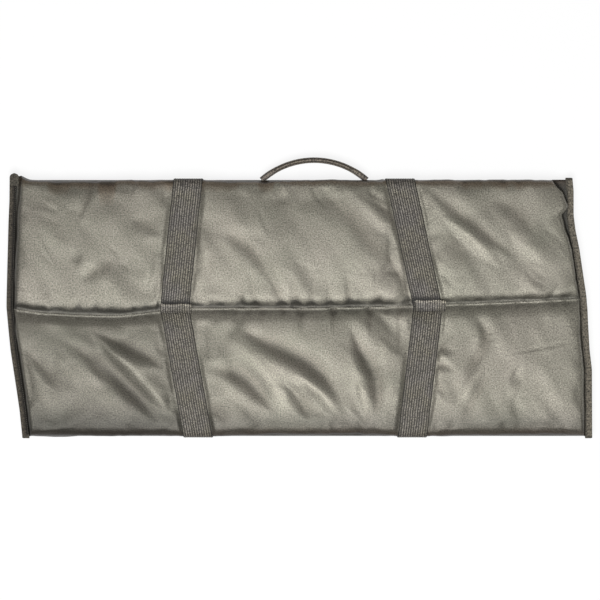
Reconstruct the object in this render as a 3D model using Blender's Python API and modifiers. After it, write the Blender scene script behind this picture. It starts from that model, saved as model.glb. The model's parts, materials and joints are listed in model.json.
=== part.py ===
"""Weigh mat, folded for storage and lying flat: two front panels side by side, a flap folded
under each, webbing straps sewn across the outside, two lift handles and a carry handle.

The mat's length runs along X. The centre seam divides the upper half (+Y) from the lower half
(-Y). Every fold turns about a line in the plane where the inner faces meet."""

import math

import bmesh
import bpy
from mathutils import Matrix, Vector

MM = 0.001

# Cloth, tape and webbing
GAP = 0.3 * MM
COVER_THICKNESS = 1.0 * MM
LINING_THICKNESS = 1.0 * MM
TAPE_THICKNESS = 1.0 * MM
TAPE_WIDTH = 12 * MM
TAPE_CORNER = 1.2 * MM
TAPE_CLEARANCE = 1 * MM
STRAP_WIDTH = 50 * MM
STRAP_THICKNESS = 2.0 * MM
BAR_WIDTH = 60 * MM
BAR_THICKNESS = 1.5 * MM

# Panels, measured from the fold line, with the height outwards from the inner face
PANEL_DEPTH = 220 * MM
FLAP_DEPTH = 145 * MM
PAD_THICKNESS = 22 * MM
CROWN = 0.10
RESTING_CUT = 0.5 * MM
EDGE_RADIUS = 20 * MM
FOLD_LIP = 2 * MM
SEAM_RADIUS = 25 * MM
SEAM_RISE = 0.75
SKIRT_LEAN = 1 * MM
CHANNEL_SIDE = 3 * MM

# Where the bound ends and the middles of the straps cross each line of the mat
END_X = {
    "left": {"upper_fold": -490 * MM, "seam": -501 * MM, "lower_fold": -477 * MM},
    "right": {"upper_fold": 470 * MM, "seam": 492 * MM, "lower_fold": 501 * MM},
}
STRAP_X = {
    "left": {
        "upper_edge": -176 * MM,
        "upper_fold": -190 * MM,
        "seam": -213 * MM,
        "lower_fold": -173 * MM,
        "lower_edge": -147 * MM,
    },
    "right": {
        "upper_edge": 142 * MM,
        "upper_fold": 173 * MM,
        "seam": 221 * MM,
        "lower_fold": 194 * MM,
        "lower_edge": 176 * MM,
    },
}

# Handles
STRAP_OVERHANG = 3 * MM
LIFT_GRIP_RADIUS = 4.8 * MM
LIFT_REACH = 32 * MM
LIFT_SQUARENESS = 3
LIFT_PIVOT_RAISE = 1 * MM
CARRY_X = 26 * MM
CARRY_GRIP_RADIUS = 4.8 * MM
CARRY_TAB_THICKNESS = 1.8 * MM
CARRY_TAB_ROOT = 0.5 * MM
CARRY_HALF_SPAN = 90 * MM
CARRY_FOLD_ROOM = 2 * MM
CARRY_GRIP_RISE = 10 * MM

# Heights of the stack at a bound edge, from the plane of the inner faces
INNER_FACE = GAP / 2
FLANGE_BOTTOM = INNER_FACE + TAPE_THICKNESS + GAP
FLANGE_TOP = FLANGE_BOTTOM + COVER_THICKNESS
TAPE_TOP = FLANGE_TOP + GAP + TAPE_THICKNESS
CHANNEL_DEPTH = STRAP_THICKNESS + GAP
FOAM_BOTTOM = INNER_FACE + LINING_THICKNESS + GAP
FOAM_TOP = PAD_THICKNESS * (1 - CROWN) - CHANNEL_DEPTH - COVER_THICKNESS - GAP

# Room at the lines and edges
FOLD_ROOM = math.hypot(CARRY_TAB_THICKNESS / 2, CARRY_TAB_ROOT) + GAP
FLANGE_EDGE = TAPE_THICKNESS + GAP
FLANGE_END = TAPE_WIDTH + TAPE_CLEARANCE
FOAM_INSET = 3 * MM

# The carry handle's arc, in the plane of its tabs
CARRY_PIVOT = PAD_THICKNESS + CARRY_FOLD_ROOM
CARRY_RISE = CARRY_PIVOT + CARRY_GRIP_RISE
CARRY_ARC = (CARRY_HALF_SPAN**2 + CARRY_RISE**2) / (2 * CARRY_RISE)
CARRY_CENTRE = CARRY_RISE - CARRY_ARC

# The origin is under the middle of the footprint, carry handle included
SEAM_Y = -(CARRY_RISE + CARRY_GRIP_RADIUS) / 2
SEAM_Z = PAD_THICKNESS

LIFT_PIVOT_HEIGHT = TAPE_TOP + GAP + STRAP_THICKNESS + LIFT_PIVOT_RAISE
LIFT_PIVOT_DEPTH = FLAP_DEPTH + STRAP_OVERHANG + GAP + LIFT_GRIP_RADIUS

SIDES = ("left", "right")

# Where a rounded wall or end has its rows, as shares of its run
WALL_STEPS = (0, 0.012, 0.06, 0.22, 0.5, 1)
SEAM_STEPS = (0, 0.18, 0.4, 0.7, 1)
FOAM_STEPS = (0.06, 0.3, 1)
FOAM_SEAM_STEPS = (0, 0.5, 1)
BALL_STEPS = (-0.96, -0.7, -0.37)

# Rows and columns between those, and steps along the handles
CROWN_ROWS = 3
FOAM_CROWN_ROWS = 1
COLUMNS_BEFORE_STRAP = {"left": 3, "right": 4}
END_COLUMNS = 3
FOAM_COLUMNS = 3
BAR_ROWS = 3
LIFT_STEPS = 14
CARRY_STEPS = 12
TAB_STEPS = 5
FOAM_SHARP_ANGLE = math.radians(50)
EMPTY_SIZE = 50 * MM

OLIVE_NYLON = ("olive_nylon", (0.30, 0.29, 0.24), 0.5)
LINING_NYLON = ("lining_nylon", (0.10, 0.11, 0.09), 0.45)
BINDING_TAPE = ("binding_tape", (0.075, 0.068, 0.055), 0.8)
WEBBING = ("webbing", (0.115, 0.11, 0.095), 0.75)
FOAM = ("foam", (0.55, 0.53, 0.46), 0.9)


class Panel:
    """One padded panel: its half of the mat, and whether it faces up or is folded under."""

    def __init__(self, name, half, folded_under, parent):
        self.name = name
        self.half = half
        self.side = 1 if half == "upper" else -1
        self.face = -1 if folded_under else 1
        self.folded_under = folded_under
        self.depth = FLAP_DEPTH if folded_under else PANEL_DEPTH
        self.parent = parent

    def point(self, x, depth, height):
        """A place on the panel, from the line that its parent empty stands on."""
        from_line = -depth if self.folded_under else PANEL_DEPTH - depth
        return Vector((x, self.side * from_line, self.face * height))

    def end_x(self, side, depth):
        ends = END_X[side]
        share = depth / PANEL_DEPTH
        return ends[f"{self.half}_fold"] * (1 - share) + ends["seam"] * share

    def strap_x(self, side, depth):
        line = STRAP_X[side]
        far = line[f"{self.half}_edge"] if self.folded_under else line["seam"]
        share = depth / self.depth
        return line[f"{self.half}_fold"] * (1 - share) + far * share

    def crown(self, depth):
        return 1 - CROWN * (2 * depth / self.depth - 1) ** 2


def clear_scene():
    for obj in list(bpy.data.objects):
        bpy.data.objects.remove(obj)


def material(finish):
    name, colour, roughness = finish
    found = bpy.data.materials.get(name)
    if found:
        return found
    made = bpy.data.materials.new(name)
    made.use_nodes = True
    shader = made.node_tree.nodes["Principled BSDF"]
    shader.inputs["Base Color"].default_value = (*colour, 1)
    shader.inputs["Roughness"].default_value = roughness
    shader.inputs["Metallic"].default_value = 0
    return made


def dress(obj, name, parent, finish):
    """Names a finished object, hangs it on its body's empty and gives it its material."""
    obj.name = name
    obj.data.name = name
    obj.parent = parent
    obj.data.materials.append(material(finish))
    for collection in list(obj.users_collection):
        collection.objects.unlink(obj)
    bpy.data.collections["weigh_mat"].objects.link(obj)
    return obj


def empty(name, location, parent=None):
    made = bpy.data.objects.new(name, None)
    made.empty_display_size = EMPTY_SIZE
    made.parent = parent
    made.location = location
    bpy.data.collections["weigh_mat"].objects.link(made)
    return made


def ellipse(step):
    """Height of a quarter ellipse, as a share, at this share of its run."""
    return math.sqrt(1 - (1 - step) ** 2)


def sheet(points, turned):
    """A grid whose vertices stand at the given rows of points, facing out of the panel."""
    rows, columns = len(points), len(points[0])
    bpy.ops.mesh.primitive_grid_add(
        x_subdivisions=columns - 1, y_subdivisions=rows - 1, size=1, location=(0, 0, 0)
    )
    obj = bpy.context.object
    for vertex in obj.data.vertices:
        column = round((vertex.co.x + 0.5) * (columns - 1))
        row = round((vertex.co.y + 0.5) * (rows - 1))
        vertex.co = points[row][column]
    if turned:
        obj.data.flip_normals()
    obj.data.shade_smooth()
    return obj


def thicken(obj, thickness, outwards):
    shell = obj.modifiers.new("thickness", "SOLIDIFY")
    shell.thickness = thickness
    shell.offset = 1 if outwards else -1
    shell.use_even_offset = True


def cover_rows(panel):
    """The cover's rows as (depth, rise): up from the fold, over the crown, down at the far edge."""
    first = FOLD_ROOM + FOLD_LIP
    rows = [(FOLD_ROOM, 0)]
    rows += [(first + EDGE_RADIUS * step, ellipse(step)) for step in WALL_STEPS]
    if panel.folded_under:
        foot = panel.depth - FLANGE_END
        far = [(foot - EDGE_RADIUS * step, ellipse(step)) for step in WALL_STEPS]
        far.insert(0, (panel.depth - FLANGE_EDGE, 0))
    else:
        foot = panel.depth - FOLD_ROOM
        top = foot - SKIRT_LEAN
        far = [(foot, 0)]
        far += [(top - SEAM_RADIUS * step, seam_rise(step)) for step in SEAM_STEPS]
    far.reverse()
    return rows + spaced(rows[-1], far[0], CROWN_ROWS) + far


def seam_rise(step):
    return SEAM_RISE + (1 - SEAM_RISE) * math.sin(step * math.pi / 2)


def spaced(first, last, count):
    """Evenly spaced tuples strictly between two."""
    shares = [(number + 1) / (count + 1) for number in range(count)]
    return [
        tuple(a + (b - a) * share for a, b in zip(first, last, strict=True)) for share in shares
    ]


def cover_columns(panel, depth):
    """The cover's columns at one depth as (x, rise, channel): channel is 1 on a strap's floor."""
    walls = [(FLANGE_EDGE, 0, 0)]
    walls += [(FLANGE_END + EDGE_RADIUS * step, ellipse(step), 0) for step in WALL_STEPS]
    left, right = (panel.end_x(side, depth) for side in SIDES)
    columns = [(left + inset, rise, channel) for inset, rise, channel in walls]
    floor = STRAP_WIDTH / 2 + GAP
    shoulder = floor + CHANNEL_SIDE
    for side in SIDES:
        middle = panel.strap_x(side, depth)
        columns += spaced(columns[-1], (middle - shoulder, 1, 0), COLUMNS_BEFORE_STRAP[side])
        columns += [(middle - shoulder, 1, 0), (middle - floor, 1, 1)]
        columns += [(middle + floor, 1, 1), (middle + shoulder, 1, 0)]
    end = [(right - inset, rise, channel) for inset, rise, channel in reversed(walls)]
    return columns + spaced(columns[-1], end[0], END_COLUMNS) + end


def height(panel, depth, rise, channel):
    """The cover's outer height. A flap's crown is cut flat where the mat rests on it."""
    top = PAD_THICKNESS + (RESTING_CUT if panel.folded_under else 0)
    crowned = FLANGE_TOP + (top - FLANGE_TOP) * rise * panel.crown(depth)
    return min(crowned, PAD_THICKNESS) - channel * CHANNEL_DEPTH * rise


def cover(panel):
    points = []
    for depth, rise in cover_rows(panel):
        columns = cover_columns(panel, depth)
        row = [
            panel.point(x, depth, height(panel, depth, rise * side_rise, channel))
            for x, side_rise, channel in columns
        ]
        points.append(row)
    obj = sheet(points, panel.side * panel.face > 0)
    thicken(obj, COVER_THICKNESS, outwards=False)
    dress(obj, f"{panel.name}_cover", panel.parent, OLIVE_NYLON)


def strap_path(panel):
    """The strap's rows as (depth, height) of the surface that it lies on."""
    rows = [row for row in cover_rows(panel) if row[1] >= ellipse(WALL_STEPS[1])]
    path = [(depth, height(panel, depth, rise, 1)) for depth, rise in rows]
    if panel.folded_under:
        lowest = panel.depth - FLANGE_END - EDGE_RADIUS * WALL_STEPS[2]
        path = [place for place in path if place[0] <= lowest + GAP]
        path.append((panel.depth - TAPE_WIDTH, TAPE_TOP))
        path.append((panel.depth + STRAP_OVERHANG, TAPE_TOP))
    return path


def webbing_strip(panel, side, path, width, thickness, lift):
    """A strip of webbing along a path on the cover, held off it by the lift."""
    points = []
    for depth, surface in path:
        middle = panel.strap_x(side, depth)
        points.append(
            [panel.point(middle + share * width, depth, surface) for share in (-0.5, 0, 0.5)]
        )
    obj = sheet(points, panel.side * panel.face > 0)
    lifted = [vertex.co + vertex.normal * lift for vertex in obj.data.vertices]
    for vertex, place in zip(obj.data.vertices, lifted, strict=True):
        vertex.co = place
    thicken(obj, thickness, outwards=True)
    return obj


def straps(panel):
    for side in SIDES:
        obj = webbing_strip(panel, side, strap_path(panel), STRAP_WIDTH, STRAP_THICKNESS, GAP)
        dress(obj, f"{panel.name}_{side}_strap", panel.parent, WEBBING)


def seam_bars(panel):
    """A sewn bar across each strap, where the strap meets the centre seam."""
    lift = STRAP_THICKNESS + 2 * GAP
    for side in SIDES:
        path = strap_path(panel)[-BAR_ROWS:]
        obj = webbing_strip(panel, side, path, BAR_WIDTH, BAR_THICKNESS, lift)
        dress(obj, f"{side}_seam_bar", panel.parent, WEBBING)


def prism(panel, end_inset, depths, low, high):
    """A slab between two depths, its ends parallel to the mat's ends."""
    bpy.ops.mesh.primitive_cube_add(size=2, location=(0, 0, 0))
    obj = bpy.context.object
    for vertex in obj.data.vertices:
        across, along, up = vertex.co
        depth = depths[0] if along * panel.side > 0 else depths[1]
        side = "left" if across < 0 else "right"
        x = panel.end_x(side, depth) - math.copysign(end_inset, across)
        vertex.co = panel.point(x, depth, high if up * panel.face > 0 else low)
    return obj


def foam_rows(panel):
    """The foam's rows as (depth, rise), clear inside the cover's walls all round."""
    first = FOLD_ROOM + FOLD_LIP + FOAM_INSET
    near = [(first + EDGE_RADIUS * step, ellipse(step)) for step in FOAM_STEPS]
    if panel.folded_under:
        last = panel.depth - FLANGE_END - FOAM_INSET
        far = [(last - EDGE_RADIUS * step, ellipse(step)) for step in FOAM_STEPS]
    else:
        last = panel.depth - FOLD_ROOM - SKIRT_LEAN - COVER_THICKNESS - GAP
        far = [(last - SEAM_RADIUS * step, seam_rise(step)) for step in FOAM_SEAM_STEPS]
    far.reverse()
    return near + spaced(near[-1], far[0], FOAM_CROWN_ROWS) + far


def foam(panel):
    """A foam slab with a flat inner face and the panel's crown."""
    foot = FLANGE_END + FOAM_INSET
    wall = [(foot + EDGE_RADIUS * step, ellipse(step)) for step in FOAM_STEPS]
    points = []
    for depth, rise in foam_rows(panel):
        left, right = (panel.end_x(side, depth) for side in SIDES)
        columns = [(left + inset, side_rise) for inset, side_rise in wall]
        end = [(right - inset, side_rise) for inset, side_rise in reversed(wall)]
        columns += spaced(columns[-1], end[0], FOAM_COLUMNS) + end
        row = [
            panel.point(x, depth, FOAM_BOTTOM + (FOAM_TOP - FOAM_BOTTOM) * rise * side_rise)
            for x, side_rise in columns
        ]
        points.append(row)
    obj = sheet(points, panel.side * panel.face > 0)
    mesh = bmesh.new()
    mesh.from_mesh(obj.data)
    added = bmesh.ops.extrude_face_region(mesh, geom=mesh.faces[:])["geom"]
    for vertex in added:
        if isinstance(vertex, bmesh.types.BMVert):
            vertex.co.z = panel.face * FOAM_BOTTOM
    bmesh.ops.recalc_face_normals(mesh, faces=mesh.faces[:])
    mesh.to_mesh(obj.data)
    mesh.free()
    obj.data.set_sharp_from_angle(angle=FOAM_SHARP_ANGLE)
    dress(obj, f"{panel.name}_foam", panel.parent, FOAM)


def lining(panel):
    far = TAPE_WIDTH + GAP if panel.folded_under else FOLD_ROOM
    depths = (FOLD_ROOM, panel.depth - far)
    top = INNER_FACE + LINING_THICKNESS
    obj = prism(panel, TAPE_WIDTH + GAP, depths, INNER_FACE, top)
    dress(obj, f"{panel.name}_lining", panel.parent, LINING_NYLON)


def flat_outline(corners, thickness):
    """A plate in its own XY plane, from its outline."""
    curve = bpy.data.curves.new("outline", "CURVE")
    curve.dimensions = "2D"
    curve.fill_mode = "BOTH"
    curve.extrude = thickness / 2
    spline = curve.splines.new("POLY")
    spline.points.add(len(corners) - 1)
    for point, corner in zip(spline.points, corners, strict=True):
        point.co = (*corner, 0, 1)
    spline.use_cyclic_u = True
    return bpy.data.objects.new("outline", curve)


def binding(panel, name, start, end, inward):
    """A tape folded round the cover's flange from start to end, open towards inward."""
    rise = TAPE_TOP - INNER_FACE
    corners = [
        (TAPE_WIDTH, 0),
        (TAPE_WIDTH, TAPE_THICKNESS),
        (TAPE_THICKNESS, TAPE_THICKNESS),
        (TAPE_THICKNESS, rise - TAPE_THICKNESS),
        (TAPE_WIDTH, rise - TAPE_THICKNESS),
        (TAPE_WIDTH, rise),
        (TAPE_CORNER, rise),
        (0, rise - TAPE_CORNER),
        (0, TAPE_CORNER),
        (TAPE_CORNER, 0),
    ]
    run = end - start
    obj = flat_outline(corners, run.length)
    along = run.normalized()
    up = Vector((0, 0, panel.face))
    across = up.cross(along)
    if across.dot(inward) < 0:
        across, along = -across, -along
    turn = Matrix((across, up, along)).transposed().to_4x4()
    middle = (start + end) / 2 + up * INNER_FACE
    dress(obj, f"{panel.name}_{name}_binding", panel.parent, BINDING_TAPE)
    obj.matrix_local = Matrix.Translation(middle) @ turn


def bindings(panel):
    far = TAPE_WIDTH + GAP if panel.folded_under else GAP
    for side, inward in zip(SIDES, (Vector((1, 0, 0)), Vector((-1, 0, 0))), strict=True):
        lean = abs(panel.end_x(side, panel.depth) - panel.end_x(side, 0)) / panel.depth
        square_end = TAPE_WIDTH * lean
        depths = (GAP + square_end, panel.depth - far - square_end)
        start, end = (panel.point(panel.end_x(side, depth), depth, 0) for depth in depths)
        binding(panel, side, start, end, inward)
    if panel.folded_under:
        start, end = (
            panel.point(panel.end_x(side, panel.depth), panel.depth, 0) for side in SIDES
        )
        binding(panel, "edge", start, end, Vector((0, panel.side, 0)))


def tube(path, radii, radius):
    """A round tube along a path, with its radius at each point as a share of the whole."""
    curve = bpy.data.curves.new("tube", "CURVE")
    curve.dimensions = "3D"
    curve.bevel_depth = radius
    curve.bevel_resolution = 2
    curve.use_fill_caps = True
    spline = curve.splines.new("POLY")
    spline.points.add(len(path) - 1)
    for point, place, share in zip(spline.points, path, radii, strict=True):
        point.co = (*place, 1)
        point.radius = share
    spline.use_smooth = True
    return bpy.data.objects.new("tube", curve)


def ball_ended(path, radius):
    """The path with a rounded end before its first point and after its last, and the radii."""
    start = (path[0] - path[1]).normalized()
    end = (path[-1] - path[-2]).normalized()
    before = [path[0] - start * radius * step for step in BALL_STEPS]
    after = [path[-1] - end * radius * step for step in reversed(BALL_STEPS)]
    ball = [math.sqrt(1 - step**2) for step in BALL_STEPS]
    return before + path + after, ball + [1] * len(path) + ball[::-1]


def lift_handle(panel, parent):
    """A rolled webbing grip between the ends of a flap's straps."""
    left, right = (panel.strap_x(side, FLAP_DEPTH) for side in SIDES)
    middle, half = (left + right) / 2, (right - left) / 2
    power = 2 / LIFT_SQUARENESS
    path = []
    for number in range(LIFT_STEPS + 1):
        angle = math.pi * number / LIFT_STEPS
        across = -math.copysign(abs(math.cos(angle)) ** power, math.cos(angle))
        reach = abs(math.sin(angle)) ** power
        path.append(Vector((middle + half * across, -panel.side * LIFT_REACH * reach, 0)))
    path[0].y = path[-1].y = 0
    places, radii = ball_ended(path, LIFT_GRIP_RADIUS)
    obj = tube(places, radii, LIFT_GRIP_RADIUS)
    dress(obj, f"{panel.half}_lift_handle", parent, WEBBING)


def on_carry_arc(radius, reach):
    """Angle from the handle's middle at which a circle of this radius has this reach."""
    return math.acos((reach - CARRY_CENTRE) / radius)


def carry_arc(radius, first, last, steps):
    angles = [first + (last - first) * number / steps for number in range(steps + 1)]
    return [
        (radius * math.sin(angle), CARRY_CENTRE + radius * math.cos(angle)) for angle in angles
    ]


def carry_tabs(parent):
    """The handle's flat ends, sewn into the upper fold and lying along the handle's arc."""
    stop = on_carry_arc(CARRY_ARC, CARRY_PIVOT) + (CARRY_GRIP_RADIUS + GAP) / CARRY_ARC
    corners = []
    for radius in (CARRY_ARC + CARRY_GRIP_RADIUS, CARRY_ARC - CARRY_GRIP_RADIUS):
        root = on_carry_arc(radius, -CARRY_TAB_ROOT)
        arc = carry_arc(radius, root, stop, TAB_STEPS)
        corners += arc if not corners else arc[::-1]
    for side, sign in zip(SIDES, (-1, 1), strict=True):
        outline = [(sign * x, y) for x, y in corners]
        obj = flat_outline(outline, CARRY_TAB_THICKNESS)
        dress(obj, f"carry_handle_{side}_tab", parent, WEBBING)


def carry_grip(parent):
    """The handle's rolled middle, from one pivot to the other."""
    half = on_carry_arc(CARRY_ARC, CARRY_PIVOT)
    arc = carry_arc(CARRY_ARC, -half, half, CARRY_STEPS)
    path = [Vector((x, y - CARRY_PIVOT, 0)) for x, y in arc]
    places, radii = ball_ended(path, CARRY_GRIP_RADIUS)
    obj = tube(places, radii, CARRY_GRIP_RADIUS)
    dress(obj, "carry_handle_grip", parent, WEBBING)


def make_panel(panel):
    cover(panel)
    foam(panel)
    lining(panel)
    bindings(panel)
    straps(panel)


def main():
    clear_scene()
    bpy.context.scene.collection.children.link(bpy.data.collections.new("weigh_mat"))
    seam = empty("front_upper_body", (0, SEAM_Y, SEAM_Z))
    centre_fold = empty("centre_fold_axis", (0, 0, 0), seam)
    upper_fold = empty("upper_flap_fold_axis", (0, PANEL_DEPTH, 0), seam)
    lower_fold = empty("lower_flap_fold_axis", (0, -PANEL_DEPTH, 0), centre_fold)
    upper = Panel("upper", "upper", False, seam)
    lower = Panel("lower", "lower", False, centre_fold)
    upper_flap = Panel("upper_flap", "upper", True, upper_fold)
    lower_flap = Panel("lower_flap", "lower", True, lower_fold)
    for panel in (upper, lower, upper_flap, lower_flap):
        make_panel(panel)
    seam_bars(upper)
    for panel in (upper_flap, lower_flap):
        place = panel.point(0, LIFT_PIVOT_DEPTH, LIFT_PIVOT_HEIGHT)
        pivot = empty(f"{panel.half}_lift_handle_axis", place, panel.parent)
        lift_handle(panel, pivot)
    base = empty("carry_handle_base_axis", (CARRY_X, PANEL_DEPTH, 0), seam)
    carry_tabs(base)
    grip = empty("carry_handle_grip_axis", (0, CARRY_PIVOT, 0), base)
    carry_grip(grip)


main()
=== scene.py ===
"""Looks of the weigh mat: padded nylon covers with their wrinkles and puckers, ribbed webbing
straps, bound ends, stitching, handles and lining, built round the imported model.

The mat's length runs along X. A depth is measured from a fold line towards the centre seam, and
a height outwards from the plane where the inner faces meet."""

import json
import math
from types import SimpleNamespace

import bpy
import numpy as np
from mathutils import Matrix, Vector


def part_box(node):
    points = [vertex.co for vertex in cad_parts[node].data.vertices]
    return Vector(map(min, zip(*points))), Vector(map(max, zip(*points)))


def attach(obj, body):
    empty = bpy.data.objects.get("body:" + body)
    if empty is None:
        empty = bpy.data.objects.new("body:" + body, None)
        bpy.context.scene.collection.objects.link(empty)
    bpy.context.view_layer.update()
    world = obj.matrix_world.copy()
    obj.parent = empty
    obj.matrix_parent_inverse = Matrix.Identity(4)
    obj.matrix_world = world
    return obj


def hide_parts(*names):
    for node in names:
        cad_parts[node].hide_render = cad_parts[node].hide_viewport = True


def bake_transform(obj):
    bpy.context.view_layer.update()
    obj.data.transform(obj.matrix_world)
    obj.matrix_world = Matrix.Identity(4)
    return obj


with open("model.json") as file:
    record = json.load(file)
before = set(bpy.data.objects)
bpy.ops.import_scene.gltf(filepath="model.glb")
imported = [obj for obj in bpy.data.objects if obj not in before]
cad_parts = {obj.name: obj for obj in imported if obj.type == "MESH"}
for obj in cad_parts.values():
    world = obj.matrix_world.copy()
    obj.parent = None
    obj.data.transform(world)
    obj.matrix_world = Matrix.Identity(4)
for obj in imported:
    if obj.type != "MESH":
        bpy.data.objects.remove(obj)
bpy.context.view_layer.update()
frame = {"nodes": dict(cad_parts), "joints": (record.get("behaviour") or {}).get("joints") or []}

MM = 0.001
SEED = 7

# Places that the frame gives
PIVOTS = {joint["name"]: Vector(joint["pos_m"]) for joint in frame["joints"]}
SEAM_Y = PIVOTS["centre_fold"].y
PLANE_Z = PIVOTS["centre_fold"].z
FOLD_Y = {"upper": PIVOTS["upper_flap_fold"].y, "lower": PIVOTS["lower_flap_fold"].y}
PANEL_DEPTH = FOLD_Y["upper"] - SEAM_Y
FLAP_DEPTH = FOLD_Y["upper"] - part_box("upper_flap_edge_binding")[0].y
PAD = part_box("upper_cover")[1].z - PLANE_Z
TAPE_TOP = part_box("upper_left_binding")[1].z - PLANE_Z
INNER_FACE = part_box("upper_left_binding")[0].z - PLANE_Z
STRAP_WIDTH = 50 * MM
STRAP_THICKNESS = 2 * MM
STRAP_REACH = 3 * MM
RIB_COUNT = 12
RIB_PITCH = (STRAP_WIDTH - 1 * MM) / RIB_COUNT
RIB_HEIGHT = 0.35 * MM
RIB_STEPS = 5
WEFT_PITCH = 2.4 * MM
GRIP_RADIUS = (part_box("carry_handle_grip")[1].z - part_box("carry_handle_grip")[0].z) / 2

# The cover's section
FLANGE_HEIGHT = 2.45 * MM
FLANGE_INSET = 1.3 * MM
FLANGE_WIDTH = 13 * MM
WALL_RUN = {"left": 8 * MM, "right": 8 * MM, "flap": 14 * MM}
ROLL = {"upper": 13 * MM, "lower": 18 * MM}
FULLNESS = 0.75
NOSE = 0.5 * MM
LIP_RUN = 3 * MM
CROWN = 0.10
SEAM_RADIUS = 27 * MM
# The hollow along the centre seam, as (distance from the seam in mm, share of the full height)
SEAM_SHAPE = {
    "upper": ((0, 0.75), (1.5, 0.72), (3, 0.715), (5, 0.735), (7, 0.78), (9, 0.835), (11, 0.885),
              (14, 0.935), (17, 0.965), (21, 0.99), (27, 1.0)),
    "lower": ((0, 0.75), (1.5, 0.72), (3, 0.715), (5, 0.735), (7, 0.77), (9, 0.82), (12, 0.885),
              (15, 0.935), (18, 0.97), (22, 0.995), (27, 1.0)),
}
# How deep the straps press the cloth in on the front and on the flaps, and how far beside them
STRAP_BED = {1: 1.7 * MM, -1: 2.9 * MM}
BED_MARGIN = 9 * MM

# Row and column counts; all are even, so that every second one makes the coarse grid
FLANGE_STEPS = 4
WALL_STEPS = 10
NOSE_STEPS = 14
FLAP_STEPS = 26
FRONT_STEPS = 80
SEAM_STEPS = 16
STRAP_STEPS = 12
BETWEEN_STEPS = {"left": 100, "middle": 138, "right": 106}

# How far the upper cover's foot stands in from the right and the left end, as (depth, inset)
RIGHT_CORNER = (
    (0, 35), (12, 28), (22, 19), (35, 15), (46, 11), (53, 16), (61, 22), (78, 18), (100, 14), (140, 13),
)
LEFT_CORNER = ((0, 20), (12, 17), (40, 15), (90, 13))

# How far each end stands outside the straight line of its binding, as (depth, outwards)
END_BULGE = {
    ("upper", "left"): ((0, 7.2), (35, 5.7), (72, 5.5), (138, 3.9), (206, 2.2), (220, 1.5)),
    ("upper", "right"): ((0, 0), (18, 0), (60, -4.2), (86, -3.6), (120, 0), (155, 1.6), (189, 3.3),
                         (220, 3.5)),
    ("lower", "left"): ((0, -1.5), (45, -1.7), (79, -0.4), (114, 1.1), (148, 2.5), (182, 2.2), (220, 1.5)),
    ("lower", "right"): ((0, 2.7), (60, 4.9), (114, 7.0), (148, 4.3), (190, 3.6), (220, 3.5)),
}

# How far the centre seam wanders from the hinge line, as (x, towards +Y)
SEAM_COURSE = (
    (-500, -1), (-484, -3), (-445, -9), (-375, -13), (-310, -14), (-250, -8), (-210, -1), (-160, -1),
    (20, -1), (160, 2), (225, 5), (320, 8), (440, 13), (500, 16),
)
SEAM_PULL = 42 * MM

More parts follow.
